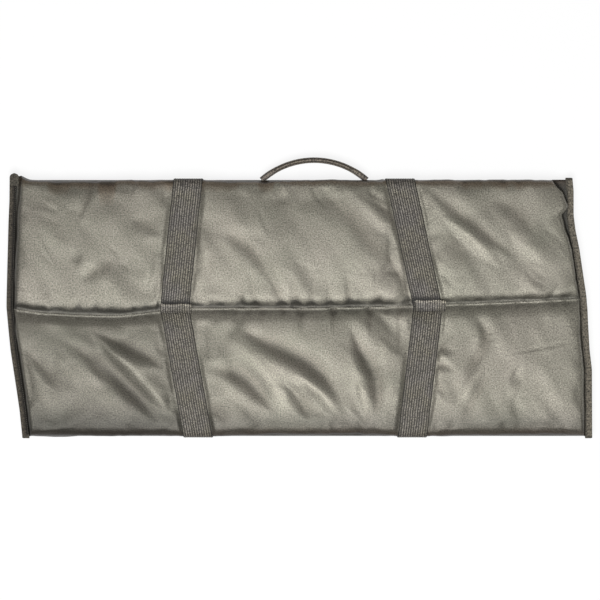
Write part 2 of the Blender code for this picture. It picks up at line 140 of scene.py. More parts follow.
# The folds that the cloth has kept, as (half width, height, then x, y from the centre seam)
CREASES = (
    (8, 1.5, (-376, 202), (-400, 165)),
    (6, -1.6, (-393, 79), (-369, 93)),
    (7, -1.5, (-310, 89), (-341, 65), (-376, 48)),
    (6, 1.0, (-386, 62), (-348, 82)),
    (7, 1.3, (-321, 27), (-297, 72)),
    (7, -1.2, (-292, 154), (-261, 137), (-233, 123)),
    (8, -0.8, (-436, 172), (-417, 137), (-406, 99)),
    (8, -1.6, (-153, 134), (-101, 111), (-63, 79), (-50, 31)),
    (6, 1.3, (-96, 127), (-63, 96), (-33, 48), (-12, 14)),
    (6, 1.6, (-158, 117), (-170, 65), (-178, 21)),
    (5, -1.0, (-147, 108), (-158, 39)),
    (6, 0.8, (-46, 185), (-29, 208)),
    (6, -1.0, (-33, 177), (-15, 202)),
    (9, -1.7, (21, 209), (62, 175), (99, 134), (139, 89), (172, 45)),
    (6, -1.6, (110, 206), (139, 172), (173, 132)),
    (6, 0.8, (87, 202), (125, 159), (159, 117)),
    (6.5, -1.7, (211, 213), (249, 177), (293, 139), (334, 111), (379, 79)),
    (6, 1.5, (237, 163), (293, 117), (352, 62)),
    (8, -1.5, (324, 185), (364, 166), (386, 142), (406, 120)),
    (7, 1.2, (353, 137), (388, 105), (424, 70)),
    (8, -1.2, (225, 129), (250, 120), (269, 86), (280, 48)),
    (6, 1.0, (259, 48), (280, 21)),
    (7, -1.0, (132, 214), (156, 202)),
    (9, 1.5, (-150, 202), (-90, 204), (-20, 203), (60, 204), (135, 200)),
    (7, 2.2, (-362, -31), (-328, -70), (-281, -117), (-238, -161), (-202, -206)),
    (8, -2.0, (-420, -43), (-376, -75), (-329, -115), (-273, -165), (-226, -209)),
    (8, -2.0, (-352, -33), (-307, -69), (-261, -87), (-226, -108)),
    (6, 1.0, (-427, -70), (-389, -120), (-370, -142)),
    (6, -1.2, (-473, -70), (-451, -93), (-427, -120), (-410, -144)),
    (8, 1.0, (-466, -120), (-436, -158), (-405, -199)),
    (7, 0.8, (-367, -132), (-324, -172), (-273, -213)),
    (9, -2.4, (-111, -31), (-50, -70), (9, -99), (43, -127), (77, -175)),
    (9, 1.8, (-137, -34), (-94, -81), (-50, -125), (-17, -202)),
    (7, 1.6, (-7, -110), (36, -149), (77, -204)),
    (8, -1.8, (-168, -106), (-129, -108), (-84, -134), (-39, -185)),
    (6, -1.5, (-26, -125), (-2, -161), (21, -199)),
    (7, -2.8, (84, -26), (106, -87), (130, -127), (134, -199)),
    (5, 1.2, (98, -115), (108, -158), (115, -199)),
    (6, 1.0, (147, -38), (142, -72), (147, -110)),
    (8, -1.2, (-161, -149), (-144, -175), (-122, -213)),
    (6, -1.6, (297, -17), (321, -46), (314, -75), (297, -103), (280, -132)),
    (1.8, -0.28, (345, -82), (413, -72), (487, -57)),
    (6, 1.2, (324, -72), (307, -110), (285, -149), (268, -175)),
    (5, -1.0, (328, -106), (302, -149), (280, -201)),
    (8, -1.0, (358, -123), (382, -130)),
    (4, -1.0, (259, -211), (269, -189)),
)
# Folds that open out of a seam, a fold or a strap's edge and run out, in the same form
PUCKERS = (
    (5, -3.2, (-353, 222), (-360, 195), (-384, 138)),
    (7, -1.8, (-415, 222), (-413, 186)),
    (7, -2.4, (-329, 222), (-331, 172)),
    (6, -1.7, (-62, 222), (-70, 182)),
    (4, -1.4, (103, -224), (97, -186)),
    (5, -1.1, (62, -224), (53, -186)),
    (4.5, -2.6, (86, 4), (81, 66)),
    (4.5, -1.8, (51, 4), (50, 52)),
    (4.5, -1.8, (21, 4), (24, 48)),
    (4.5, -2.2, (-6, 4), (-12, 62)),
    (5, -2.2, (-29, 4), (-57, 80)),
    (4.5, -2.1, (-75, 4), (-86, 66)),
    (4.5, -1.8, (-100, 4), (-97, 62)),
    (4.5, -2.1, (134, 4), (130, 62)),
    (5, -2.6, (187, 8), (176, 45), (160, 76), (141, 104)),
    (4, -1.8, (58, -3), (58, -46)),
    (4, -1.8, (120, -3), (122, -54)),
    (4, -1.5, (2, -3), (4, -44)),
    (4, -0.9, (-64, -3), (-62, -40)),
    (4, -0.8, (-29, -3), (-27, -40)),
    (4.5, -1.1, (172, -3), (168, -46)),
    (5, -1.2, (244, -72), (271, -77)),
    (5, -1.4, (244, -99), (269, -110)),
    (5, -1.3, (235, -132), (254, -158)),
    (5, 1.0, (244, -86), (262, -93)),
)
# A crease's section: the dips at its flanks, and the shares that are even and odd about its line
CREASE_FLANK = 0.35
EVEN_SHARE = 0.5
ODD_SHARE = 1.0
PUCKER_ODD = 0.35
# The odd shares of the painted shade that a crease gives and of the pull that a pucker gives the seam's
# painted shade
SHADE_ODD = 0.4
PULL_ODD = 0.3
# The way towards the lamp in plan
LEAN = (-0.42, -0.91)
PUCKER_PULL = 9
CREASE_WIDTH = 1.9
LOWER_DEPTH = 1.6
UPPER_FOLD_DEPTH = 1.6
SHADED_LENGTH = 55 * MM
# The ear of cloth at the upper left corner, in mm: x, width, reach past the fold and depth
EAR = (-478, 11, 7, 10)

# Painted shade in the cloth's colour along the seam, the folds and the bindings, browner towards the folds,
# as (distance in mm, share of its colour)
SEAM_SHADE = {
    "upper": ((0, 0.90), (0.8, 0.78), (1.7, 0.50), (3, 0.34), (5, 0.29), (6.5, 0.28), (8.3, 0.41),
              (10.3, 0.68), (12.4, 0.84), (14.5, 0.92), (16.6, 0.95), (18.6, 0.99), (20.7, 1.04),
              (22.8, 1.08), (24.8, 1.06), (28, 1)),
    "lower": ((0, 0.90), (0.7, 0.86), (1.7, 0.76), (3.5, 0.72), (5.6, 0.77), (7.6, 0.84), (9.7, 0.92),
              (12, 1.02), (15, 1.1), (19, 1.06), (23, 1)),
}
FOLD_SHADE = {
    "upper": ((-1, 0.18), (1.5, 0.34), (4, 0.74), (8, 0.82), (11, 0.92), (15, 1.0)),
    "lower": ((-1, 0.14), (1, 0.24), (3, 0.42), (6, 0.54), (13, 0.58), (20, 0.66), (34, 0.80), (55, 0.96),
              (70, 1.0)),
}
FOLD_BROWN = {
    "upper": ((-1, 1.0), (4, 0.85), (9, 0.4), (16, 0.0)),
    "lower": ((-1, 1.0), (3, 0.9), (6, 0.45), (12, 0.15), (20, 0.0)),
}
SIDE_SHADE = {
    ("upper", "left"): ((11, 0.14), (13, 0.30), (15, 0.52), (20, 0.70), (24, 0.95), (27, 1.0)),
    ("lower", "left"): ((11, 0.14), (13, 0.40), (16, 0.85), (19, 1.0)),
    ("upper", "right"): ((12, 0.35), (14, 0.85), (16, 1.0)),
    ("lower", "right"): ((12, 0.35), (14, 0.85), (16, 1.0)),
}
# How far the painted shade of the upper fold's rim reaches into the front, as (x, depth)
RIM_REACH = (
    (-500, 10), (-434, 7), (-427, 20), (-398, 19), (-390, 10), (-362, 13), (-346, 12), (-340, 33),
    (-318, 31), (-312, 9), (-283, 7), (-264, 14), (-218, 15), (-190, 12), (-165, 18), (-118, 17),
    (-100, 7), (-70, 8), (-66, 16), (-46, 16), (-41, 4), (-22, 4), (0, 8), (60, 6), (90, 10),
    (130, 8), (230, 9), (300, 12), (440, 11), (500, 9),
)
RIM_USUAL = 11
# Painted shade in the valleys of the folds with a brown cast, painted highlight on their ridges, and painted
# shade over the lower left and along the lower fold
VALLEY_SHADE = 0.17
VALLEY_BROWN = 0.1
RIDGE_LIGHT = 0.15
LOWER_LEFT_SHADE = 0.27
LOW_RIM_SHADE = 0.25
# How wide the seam's shade is at the left end and from the middle on, as a share of its usual width
SEAM_NARROWING = {"upper": 0.85, "lower": 1.6}
SEAM_NARROWING_RIGHT = 1.2
SEAM_WAVER = 1.5 * MM
SEAM_PALER_RIGHT = 0.22
# Painted light and shade along the mat from end to end, as (x, share)
EVENNESS = ((-500, 0.92), (-280, 0.93), (-120, 1.03), (0, 1.04), (300, 1.05), (500, 1.07))

# Broad waves in the cloth: lean in degrees, length, width and height
UNDULATIONS = ((-48, 110, 34, 0.9), (-62, 70, 22, 0.45), (-20, 90, 45, 0.7), (30, 60, 30, 0.3))
# Loose folds strewn over each front and each flap: how many, their least and their greatest height
LOOSE_FOLDS = {1: (26, 0.2, 0.6), -1: (40, 0.4, 1.4)}

# Cloth simulation of the covers
SIM_FRAMES = 20
SIM_CLOTH = {
    "quality": 5,
    "mass": 0.15,
    "tension_stiffness": 25,
    "compression_stiffness": 25,
    "shear_stiffness": 8,
    "bending_stiffness": 0.4,
    "air_damping": 2,
    "use_pressure": True,
    "uniform_pressure_force": 4,
    "shrink_min": -0.03,
    "vertex_group_mass": "held",
}
# The share of the simulated movement that is kept, its cap, and how often it is averaged
SIM_SHARE = 0.8
SIM_CAP = 3.0 * MM
SOFTENINGS = 2


def smooth(share):
    share = np.clip(share, 0, 1)
    return share * share * (3 - 2 * share)


def eased(value, start, run):
    """Rises smoothly from 0 at a start to 1 after a run, both in millimetres."""
    return smooth((value - start * MM) / (run * MM))


def steps_to(start, end, count):
    """Even steps from a start, which is left out, to an end."""
    return [start + (end - start) * number / count for number in range(1, count + 1)]


def run_along(path):
    """The distance along a path at each of its points."""
    return np.concatenate([[0], np.cumsum(np.linalg.norm(np.diff(path, axis=0), axis=1))])


def read_along(values, run, at):
    """Rows of three values read off at distances along their path."""
    return np.stack([np.interp(at, run, values[:, axis]) for axis in range(3)], axis=1)


def unit(vectors):
    return vectors / np.maximum(np.linalg.norm(vectors, axis=-1, keepdims=True), 1e-12)


def course(pairs, at):
    """A value read off listed (place, value) pairs in millimetres, smoothed between them."""
    places, values = np.array(pairs, float).T
    fine = np.linspace(places[0], places[-1], 200)
    read = np.interp(fine, places, values)
    kernel = np.hanning(11)
    eased = np.convolve(np.pad(read, 5, "edge"), kernel / kernel.sum(), "valid")
    return np.interp(at / MM, fine, eased) * MM


def edge_line(node, pick):
    """Straight line through a node's two end rows, as (slope, x at y = 0)."""
    places = np.array([v.co for v in frame["nodes"][node].data.vertices])
    ends = []
    for y in (places[:, 1].min(), places[:, 1].max()):
        row = places[np.abs(places[:, 1] - y) < 2 * MM]
        ends.append((row[:, 1].mean(), pick(row[:, 0])))
    (y0, x0), (y1, x1) = ends
    slope = (x1 - x0) / (y1 - y0)
    return slope, x0 - slope * y0


def middle(values):
    return (values.min() + values.max()) / 2


class Half:
    """The upper or the lower half of the mat: a front panel with its flap folded under."""

    def __init__(self, name):
        self.name = name
        self.side = 1 if name == "upper" else -1
        self.fold_y = FOLD_Y[name]
        self.ends = {
            "left": edge_line(f"{name}_left_binding", np.min),
            "right": edge_line(f"{name}_right_binding", np.max),
        }
        self.straps = {
            (face, side): edge_line(f"{name}{part}_{side}_strap", middle)
            for face, part in ((1, ""), (-1, "_flap"))
            for side in ("left", "right")
        }

    def y(self, depth):
        return self.fold_y - self.side * depth

    def end_x(self, side, depth):
        slope, start = self.ends[side]
        outwards = -1 if side == "left" else 1
        return start + slope * self.y(depth) + outwards * course(END_BULGE[self.name, side], depth)

    def strap_x(self, side, depth, face):
        slope, start = self.straps[face, side]
        return start + slope * self.y(depth)

    def foot_inset(self, side, depth):
        if self.name == "upper":
            return course(RIGHT_CORNER if side == "right" else LEFT_CORNER, depth)
        return FLANGE_WIDTH


HALVES = {name: Half(name) for name in ("upper", "lower")}


class Row:
    """One line of a cover's grid: its half, depth and face, and its share of the full height."""

    def __init__(self, half, depth, face, rise):
        self.half = half
        self.depth = depth
        self.face = face
        self.rise = rise

    @property
    def lip(self):
        run = min(1, (self.depth + NOSE) / LIP_RUN)
        return FLANGE_HEIGHT * math.sqrt(1 - (1 - run) ** 2)

    @property
    def crown(self):
        depth = PANEL_DEPTH if self.face > 0 else FLAP_DEPTH
        return 1 - CROWN * (2 * self.depth / depth - 1) ** 2

    def height(self, side_rise):
        return self.lip + (PAD - FLANGE_HEIGHT) * self.rise * self.crown * side_rise


def quarter(steps):
    """Shares of the run and of the rise along a full rounded edge, without its foot."""
    angles = [math.pi / 2 * (number + 1) / steps for number in range(steps)]
    return [(1 - max(0.0, math.cos(angle)) ** FULLNESS, math.sin(angle) ** FULLNESS) for angle in angles]


def seam_rise(half, distance):
    """Share of the full height at a distance from the centre seam."""
    places, shares = np.array(SEAM_SHAPE[half.name]).T
    fine = np.linspace(0, places[-1], 101)
    eased = np.convolve(np.pad(np.interp(fine, places, shares), 4, "edge"), np.hanning(11)[1:-1] / 5, "valid")
    return float(np.interp(distance / MM, fine, eased))


def half_rows(half):
    """A half's rows from the far edge of the flap, round the fold and up to the centre seam."""
    rows = []
    foot = FLAP_DEPTH - FLANGE_WIDTH
    for number in range(FLANGE_STEPS):
        share = number / FLANGE_STEPS
        rows.append(Row(half, FLAP_DEPTH - FLANGE_INSET - share * (FLANGE_WIDTH - FLANGE_INSET), -1, 0))
    rows.append(Row(half, foot, -1, 0))
    for run, rise in quarter(WALL_STEPS):
        rows.append(Row(half, foot - WALL_RUN["flap"] * run, -1, rise))
    roll = ROLL[half.name]
    start, end = rows[-1].depth, roll - NOSE
    rows += [Row(half, depth, -1, 1) for depth in steps_to(start, end, FLAP_STEPS)]
    nose = [(-NOSE, 0.0)] + [(roll * run - NOSE, rise) for run, rise in quarter(NOSE_STEPS)]
    rows += [Row(half, depth, -1, rise) for depth, rise in nose[-2::-1]]
    rows += [Row(half, depth, 1, rise) for depth, rise in nose[1:]]
    start, end = rows[-1].depth, PANEL_DEPTH - SEAM_RADIUS
    rows += [Row(half, depth, 1, 1) for depth in steps_to(start, end, FRONT_STEPS)]
    for number in range(1, SEAM_STEPS + 1):
        share = 1 - number / SEAM_STEPS
        share = share * (0.45 + 0.55 * share)
        rise = seam_rise(half, SEAM_RADIUS * share)
        rows.append(Row(half, PANEL_DEPTH - SEAM_RADIUS * share, 1, rise))
    return rows


def mat_rows():
    """All rows, from the upper flap's far edge over both front panels to the lower flap's."""
    upper, lower = (half_rows(HALVES[name]) for name in ("upper", "lower"))
    return upper + lower[-2::-1]


ROWS = mat_rows()
SEAM_ROW = (len(ROWS) - 1) // 2
SPLIT_ROWS = (SEAM_ROW - SEAM_STEPS, SEAM_ROW + SEAM_STEPS)


def row_columns(row):
    """One row's x positions and each column's share of the full height."""
    half, depth = row.half, row.depth
    left, right = (half.end_x(side, depth) for side in ("left", "right"))
    left_foot = left + half.foot_inset("left", depth)
    right_foot = right - half.foot_inset("right", depth)
    x, rise = [left + FLANGE_INSET], [0.0]

    def run_to(target, steps):
        x.extend(steps_to(x[-1], target, steps))
        rise.extend([rise[-1]] * steps)

    run_to(left_foot, FLANGE_STEPS)
    for run, share in quarter(WALL_STEPS):
        x.append(left_foot + WALL_RUN["left"] * run)
        rise.append(share)
    for side, space in (("left", "left"), ("right", "middle")):
        strap = half.strap_x(side, depth, row.face)
        run_to(strap - STRAP_WIDTH / 2, BETWEEN_STEPS[space])
        run_to(strap + STRAP_WIDTH / 2, STRAP_STEPS)
    run_to(right_foot - WALL_RUN["right"], BETWEEN_STEPS["right"])
    for run, share in reversed([(0.0, 0.0)] + quarter(WALL_STEPS)[:-1]):
        x.append(right_foot - WALL_RUN["right"] * run)
        rise.append(share)
    run_to(right - FLANGE_INSET, FLANGE_STEPS)
    return x, rise


def seam_shift(x, y):
    """How far the centre seam draws the cloth near it along Y."""
    near = np.exp(-(((y - SEAM_Y) / SEAM_PULL) ** 2))
    return course(SEAM_COURSE, x) * near


class Grid:
    """The outer cloth as one grid, from flap edge to flap edge."""

    def __init__(self):
        columns = [row_columns(row) for row in ROWS]
        self.x = np.array([x for x, _ in columns])
        self.rise = np.array([rise for _, rise in columns])
        self.depth = self.by_row(lambda row: row.depth)
        self.face = self.by_row(lambda row: row.face)
        self.row_rise = self.by_row(lambda row: row.rise)
        self.y = self.by_row(lambda row: row.half.y(row.depth))
        self.height = np.array([[row.height(rise) for rise in line] for row, line in zip(ROWS, self.rise)])
        self.strap_gap = self.distance_to_straps()
        self.along = self.lengths()
        self.base = self.place(self.height - self.bed())
        self.normal = normals_of(self.base)

    def by_row(self, pick):
        return np.array([pick(row) for row in ROWS])[:, None] + 0 * self.x

    def part(self, half, face):
        """Where the grid is one face of one half."""
        return (self.face == face) & ((self.y - SEAM_Y) * half.side > 0)

    def distance_to_straps(self):
        gaps = []
        for side in ("left", "right"):
            middles = [row.half.strap_x(side, row.depth, row.face) for row in ROWS]
            gaps.append(np.abs(self.x - np.array(middles)[:, None]) - STRAP_WIDTH / 2)
        return np.minimum(*gaps)

    def bed(self):
        """How far the cloth is drawn down under the straps and beside them."""
        near = 1 - smooth((self.strap_gap + 1 * MM) / BED_MARGIN)
        depth = np.where(self.face > 0, STRAP_BED[1], STRAP_BED[-1])
        return depth * near * self.row_rise * self.rise

    def place(self, height):
        z = PLANE_Z + self.face * height
        return np.stack([self.x, self.y, z], axis=2)

    def lengths(self):
        """Distance along the cloth from its first row, for the weave."""
        path = np.array([(row.depth * row.half.side, row.height(1) * row.face) for row in ROWS])
        steps = np.linalg.norm(np.diff(path, axis=0), axis=1)
        return np.concatenate([[0], np.cumsum(np.minimum(steps, 8 * MM))])


def normals_of(points):
    across = np.gradient(points, axis=1)
    down = np.gradient(points, axis=0)
    return unit(np.cross(down, across))


def grid_faces(rows, columns):
    first = (np.arange(rows - 1)[:, None] * columns + np.arange(columns - 1)[None, :]).ravel()
    return np.stack([first, first + columns, first + columns + 1, first + 1], axis=1)


def add_object(name, data):
    obj = bpy.data.objects.new(name, data)
    bpy.context.scene.collection.objects.link(obj)
    return obj


def make_mesh(name, points, faces):
    """A mesh object from an array of vertices and a list of faces."""
    mesh = bpy.data.meshes.new(name)
    mesh.from_pydata(points.reshape(-1, 3).tolist(), [], faces)
    mesh.shade_smooth()
    return add_object(name, mesh)


def simulate(grid):
    """Cloth simulation of the cover on every second row and column: how far each point moves."""
    base = grid.base[::2, ::2]
    rows, columns = base.shape[:2]
    obj = make_mesh("cover_cloth", base, grid_faces(rows, columns).tolist())
    held = grid.strap_gap[::2, ::2] < 0.5 * MM
    held |= grid.rise[::2, ::2] < 0.01
    held |= grid.row_rise[::2, ::2] < 0.01
    held[SEAM_ROW // 2] = True
    group = obj.vertex_groups.new(name="held")
    group.add(np.flatnonzero(held.ravel()).tolist(), 1, "REPLACE")
    bpy.context.scene.frame_start = 1
    bpy.context.scene.frame_end = SIM_FRAMES
    cloth = obj.modifiers.new("cloth", "CLOTH")
    for setting, value in SIM_CLOTH.items():
        setattr(cloth.settings, setting, value)
    cloth.settings.effector_weights.gravity = 0
    cloth.collision_settings.use_collision = False
    cloth.point_cache.frame_start = 1
    cloth.point_cache.frame_end = SIM_FRAMES
    for number in range(1, SIM_FRAMES + 1):
        bpy.context.scene.frame_set(number)
    shaped = obj.evaluated_get(bpy.context.evaluated_depsgraph_get()).data
    places = np.empty(len(shaped.vertices) * 3, np.float32)
    shaped.vertices.foreach_get("co", places)
    moved = places.reshape(rows, columns, 3).astype(float) - base
    bpy.data.objects.remove(obj)
    bpy.context.scene.frame_set(1)
    return moved


def softened(values):
    """A grid averaged with its neighbours, so that no fold in it is sharper than cloth on foam."""
    for _ in range(SOFTENINGS):
        for axis in (0, 1):
            values = np.swapaxes(values, 0, axis)
            padded = np.concatenate([values[:1], values, values[-1:]])
            values = np.swapaxes((padded[:-2] + 2 * values + padded[2:]) / 4, 0, axis)
    return values


def doubled(values):
    """A grid with a point between every two, by a smooth four-point rule along both axes."""
    for axis in (0, 1):
        values = np.swapaxes(values, 0, axis)
        padded = np.concatenate([values[:1], values, values[-1:]])
        between = (9 * (padded[1:-2] + padded[2:-1]) - padded[:-3] - padded[3:]) / 16
        out = np.empty((2 * len(values) - 1,) + values.shape[1:])
        out[::2] = values
        out[1::2] = between
        values = np.swapaxes(out, 0, axis)
    return values


def from_polyline(x, y, points):
    """Distance from a polyline, the share of its length at the nearest point, and which side
    the place is on: positive towards the lamp."""
    points = np.array(points, float)
    lengths = np.linalg.norm(np.diff(points, axis=0), axis=1)
    starts = np.concatenate([[0], np.cumsum(lengths)])
    nearest = np.full(x.shape, 1e9)
    share = np.zeros(x.shape)
    side = np.zeros(x.shape)
    for number, length in enumerate(lengths):
        (x0, y0), (x1, y1) = points[number], points[number + 1]
        along = np.clip(((x - x0) * (x1 - x0) + (y - y0) * (y1 - y0)) / length**2, 0, 1)
        across_x, across_y = x - x0 - along * (x1 - x0), y - y0 - along * (y1 - y0)
        distance = np.hypot(across_x, across_y)
        closer = distance < nearest
        nearest = np.where(closer, distance, nearest)
        share = np.where(closer, (starts[number] + along * length) / starts[-1], share)
        lit = (across_x * LEAN[0] + across_y * LEAN[1]) / np.maximum(distance, 1e-9)
        side = np.where(closer, lit, side)
    return nearest, share, side


def crease(x, y, points, half_width, height, odd_share, opens):
    """A fold along a polyline, higher on one side than on the other. It tapers to both ends, or
    only to the far one where it opens out of a seam."""
    distance, share, side = from_polyline(x, y, points)
    taper = 1 - share if opens else smooth(share / 0.4) * smooth((1 - share) / 0.4)
    reach = distance / (half_width * (0.35 + 0.65 * taper))
    near = np.exp(-(reach**2))
    even = near - CREASE_FLANK * np.exp(-((reach / 2.2) ** 2)) * (1 - near)
    odd = -side * reach * np.exp(-((reach / 1.3) ** 2))
    return height * (EVEN_SHARE * even + odd_share * odd) * taper


def rounded(points):
    """The polyline with its corners cut twice, so that a fold has no kinks."""
    points = np.array(points, float)
    for _ in range(2):
        if len(points) < 3:
            return points
        ahead = points[:-1] * 0.75 + points[1:] * 0.25
        behind = points[:-1] * 0.25 + points[1:] * 0.75
        cut = np.stack([ahead, behind], axis=1).reshape(-1, 2)[1:-1]
        points = np.concatenate([points[:1], cut, points[-1:]])
    return points


def add_crease(field, grid, where, points, half_width, height, odd_share=ODD_SHARE, opens=False):
    """Adds one crease to the field, on the rows and columns near it only."""
    points = rounded(points)
    room = 3.2 * half_width
    low, high = points.min(axis=0) - room, points.max(axis=0) + room
    near = where & (grid.x > low[0]) & (grid.x < high[0]) & (grid.y > low[1]) & (grid.y < high[1])
    rows, columns = np.nonzero(near)
    if len(rows):
        x, y = grid.x[rows, columns], grid.y[rows, columns]
        field[rows, columns] += crease(x, y, points, half_width, height, odd_share, opens)


def bow(place, step, share):
    """Three points of a bent line through a place."""
    bend = np.array([-step[1], step[0]]) * share
    return [place - step, place + bend, place + step]


def wavering(random, count, window, calm):
    """Smooth random offsets for a line of points."""
    kernel = np.hanning(window)[1:-1]
    return np.convolve(random.normal(size=count + len(kernel) - 1), kernel / calm, "valid")


def soft_noise(x, y, spacing, random):
    """Smooth noise of unit spread with bumps a spacing apart, over places in metres."""
    across, up = x / spacing[0], y / spacing[1]
    across, up = across - across.min() + 0.5, up - up.min() + 0.5
    lattice = random.normal(size=(int(up.max()) + 3, int(across.max()) + 3))
    column, row = across.astype(int), up.astype(int)
    right, above = smooth(across - column), smooth(up - row)
    low = lattice[row, column] * (1 - right) + lattice[row, column + 1] * right
    high = lattice[row + 1, column] * (1 - right) + lattice[row + 1, column + 1] * right
    return low * (1 - above) + high * above


def undulations(grid, random):
    """Broad soft waves that lean down to the right, as the mat's loose cloth does."""
    field = np.zeros(grid.x.shape)
    for angle, length, width, height in UNDULATIONS:
        turn = math.radians(angle)
        along = grid.x * math.cos(turn) + grid.y * math.sin(turn)
        across = grid.y * math.cos(turn) - grid.x * math.sin(turn)
        for face in (1, -1):
            waves = soft_noise(along, across, (length * MM, width * MM), random)
            field += np.where(grid.face == face, waves, 0) * height * MM
    return field


def photo_creases(grid, field, long_folds, puckers):
    """Adds the listed creases and puckers, and the painted shade and the pull that they give."""
    for half_width, height, *points in CREASES + PUCKERS:
        places = [(x * MM, SEAM_Y + y * MM) for x, y in points]
        depth = LOWER_DEPTH if points[0][1] < 0 else 1
        width, deep = half_width * CREASE_WIDTH * MM, height * depth * MM
        opens = (half_width, height, *points) in PUCKERS
        where = (grid.face > 0) & ((grid.y > SEAM_Y) == (points[0][1] > 0))
        add_crease(field, grid, where, places, width, deep, PUCKER_ODD if opens else ODD_SHARE, opens)
        if opens:
            add_crease(puckers, grid, where, places, width, deep, PULL_ODD, opens)
        if opens or math.dist(places[0], places[-1]) > SHADED_LENGTH:
            add_crease(long_folds, grid, where, places, width, deep, SHADE_ODD, opens)


def strap_puckers(grid, field, random):
    """Short folds that run out from the stitched edges of the straps."""
    for half in HALVES.values():
        for face, depth_end in ((1, PANEL_DEPTH), (-1, FLAP_DEPTH - FLANGE_WIDTH)):
            where = grid.part(half, face)
            for side in ("left", "right"):
                for direction in (-1, 1):
                    depth = 8 * MM
                    while depth < depth_end - 6 * MM:
                        edge = half.strap_x(side, depth, face) + direction * STRAP_WIDTH / 2
                        length = random.uniform(10, 34) * MM
                        lean = random.uniform(-0.7, 0.7) * length
                        start = (edge - direction * 3 * MM, half.y(depth))
                        end = (edge + direction * length, half.y(depth) + lean)
                        height = -random.uniform(0.2, 0.7) * MM
                        width = random.uniform(3.5, 7) * MM
                        add_crease(field, grid, where, [start, end], width, height, PUCKER_ODD, True)
                        depth += random.uniform(14, 34) * MM


def line_puckers(grid, field, random, half, from_seam, puckers):
    """Short folds that run out from the centre seam, or in from the fold."""
    where = grid.part(half, 1)
    x = half.end_x("left", PANEL_DEPTH) + 24 * MM
    end = half.end_x("right", PANEL_DEPTH) - 24 * MM
    while x < end:
        length = random.uniform(10, 30) * MM
        lean = random.uniform(-0.5, 0.5) * length
        near, far = (PANEL_DEPTH - 1 * MM, PANEL_DEPTH - length) if from_seam else (0, length + 8 * MM)
        points = [(x, half.y(near)), (x + lean, half.y(far))]
        height = -random.uniform(0.3, 1.5) * MM
        if half.name == "upper" and not from_seam:
            height *= UPPER_FOLD_DEPTH
        width = random.uniform(4, 9) * MM
        add_crease(field, grid, where, points, width, height, PUCKER_ODD, True)
        if from_seam:
            add_crease(puckers, grid, where, points, width, height, PULL_ODD, True)
        x += random.uniform(16, 50) * MM


def end_puckers(grid, field, random, half):
    """Short folds that run in from the bound ends."""
    for face, depth_end in ((1, PANEL_DEPTH), (-1, FLAP_DEPTH)):
        where = grid.part(half, face)
        for side, direction in (("left", 1), ("right", -1)):
            depth = 6 * MM
            while depth < depth_end - 6 * MM:
                start_x = half.end_x(side, depth) + direction * 10 * MM
                length = random.uniform(18, 42) * MM
                lean = random.uniform(-0.35, 0.35) * length
                points = [(start_x, half.y(depth)), (start_x + direction * length, half.y(depth) + lean)]
                height = -random.uniform(0.2, 0.8) * MM
                add_crease(field, grid, where, points, random.uniform(4, 8) * MM, height, PUCKER_ODD, True)
                depth += random.uniform(16, 40) * MM


def loose_folds(grid, field, random, face, count, low, high):
    """Long soft folds strewn over one face, leaning as the cloth of the mat leans."""
    for half in HALVES.values():
        where = grid.part(half, face)
        depth_end = PANEL_DEPTH if face > 0 else FLAP_DEPTH
        for _ in range(count):
            x = random.uniform(-440, 440) * MM
            y = half.y(random.uniform(20 * MM, depth_end - 20 * MM))
            angle = math.radians(random.uniform(-75, -15))
            length = random.uniform(30, 90) * MM
            step = np.array([math.cos(angle), math.sin(angle)]) * length / 2
            points = bow(np.array([x, y]), step, random.uniform(-0.25, 0.25))
            height = random.choice((-1, -1, 1)) * random.uniform(low, high) * MM
            add_crease(field, grid, where, points, random.uniform(4, 9) * MM, height)


def corner_ear(grid):
    """The cloth that stands out past the fold at the upper left corner, beside the tape."""
    x, width, reach, depth = (value * MM for value in EAR)
    near = np.exp(-(((grid.x - x) / width) ** 2)) * np.exp(-((grid.depth / depth) ** 2))
    return reach * near * ((grid.y > SEAM_Y) & (grid.depth < 4 * depth))


def profile(distance, pairs):
    places, values = np.array(pairs, float).T
    return np.interp(distance / MM, places, values)


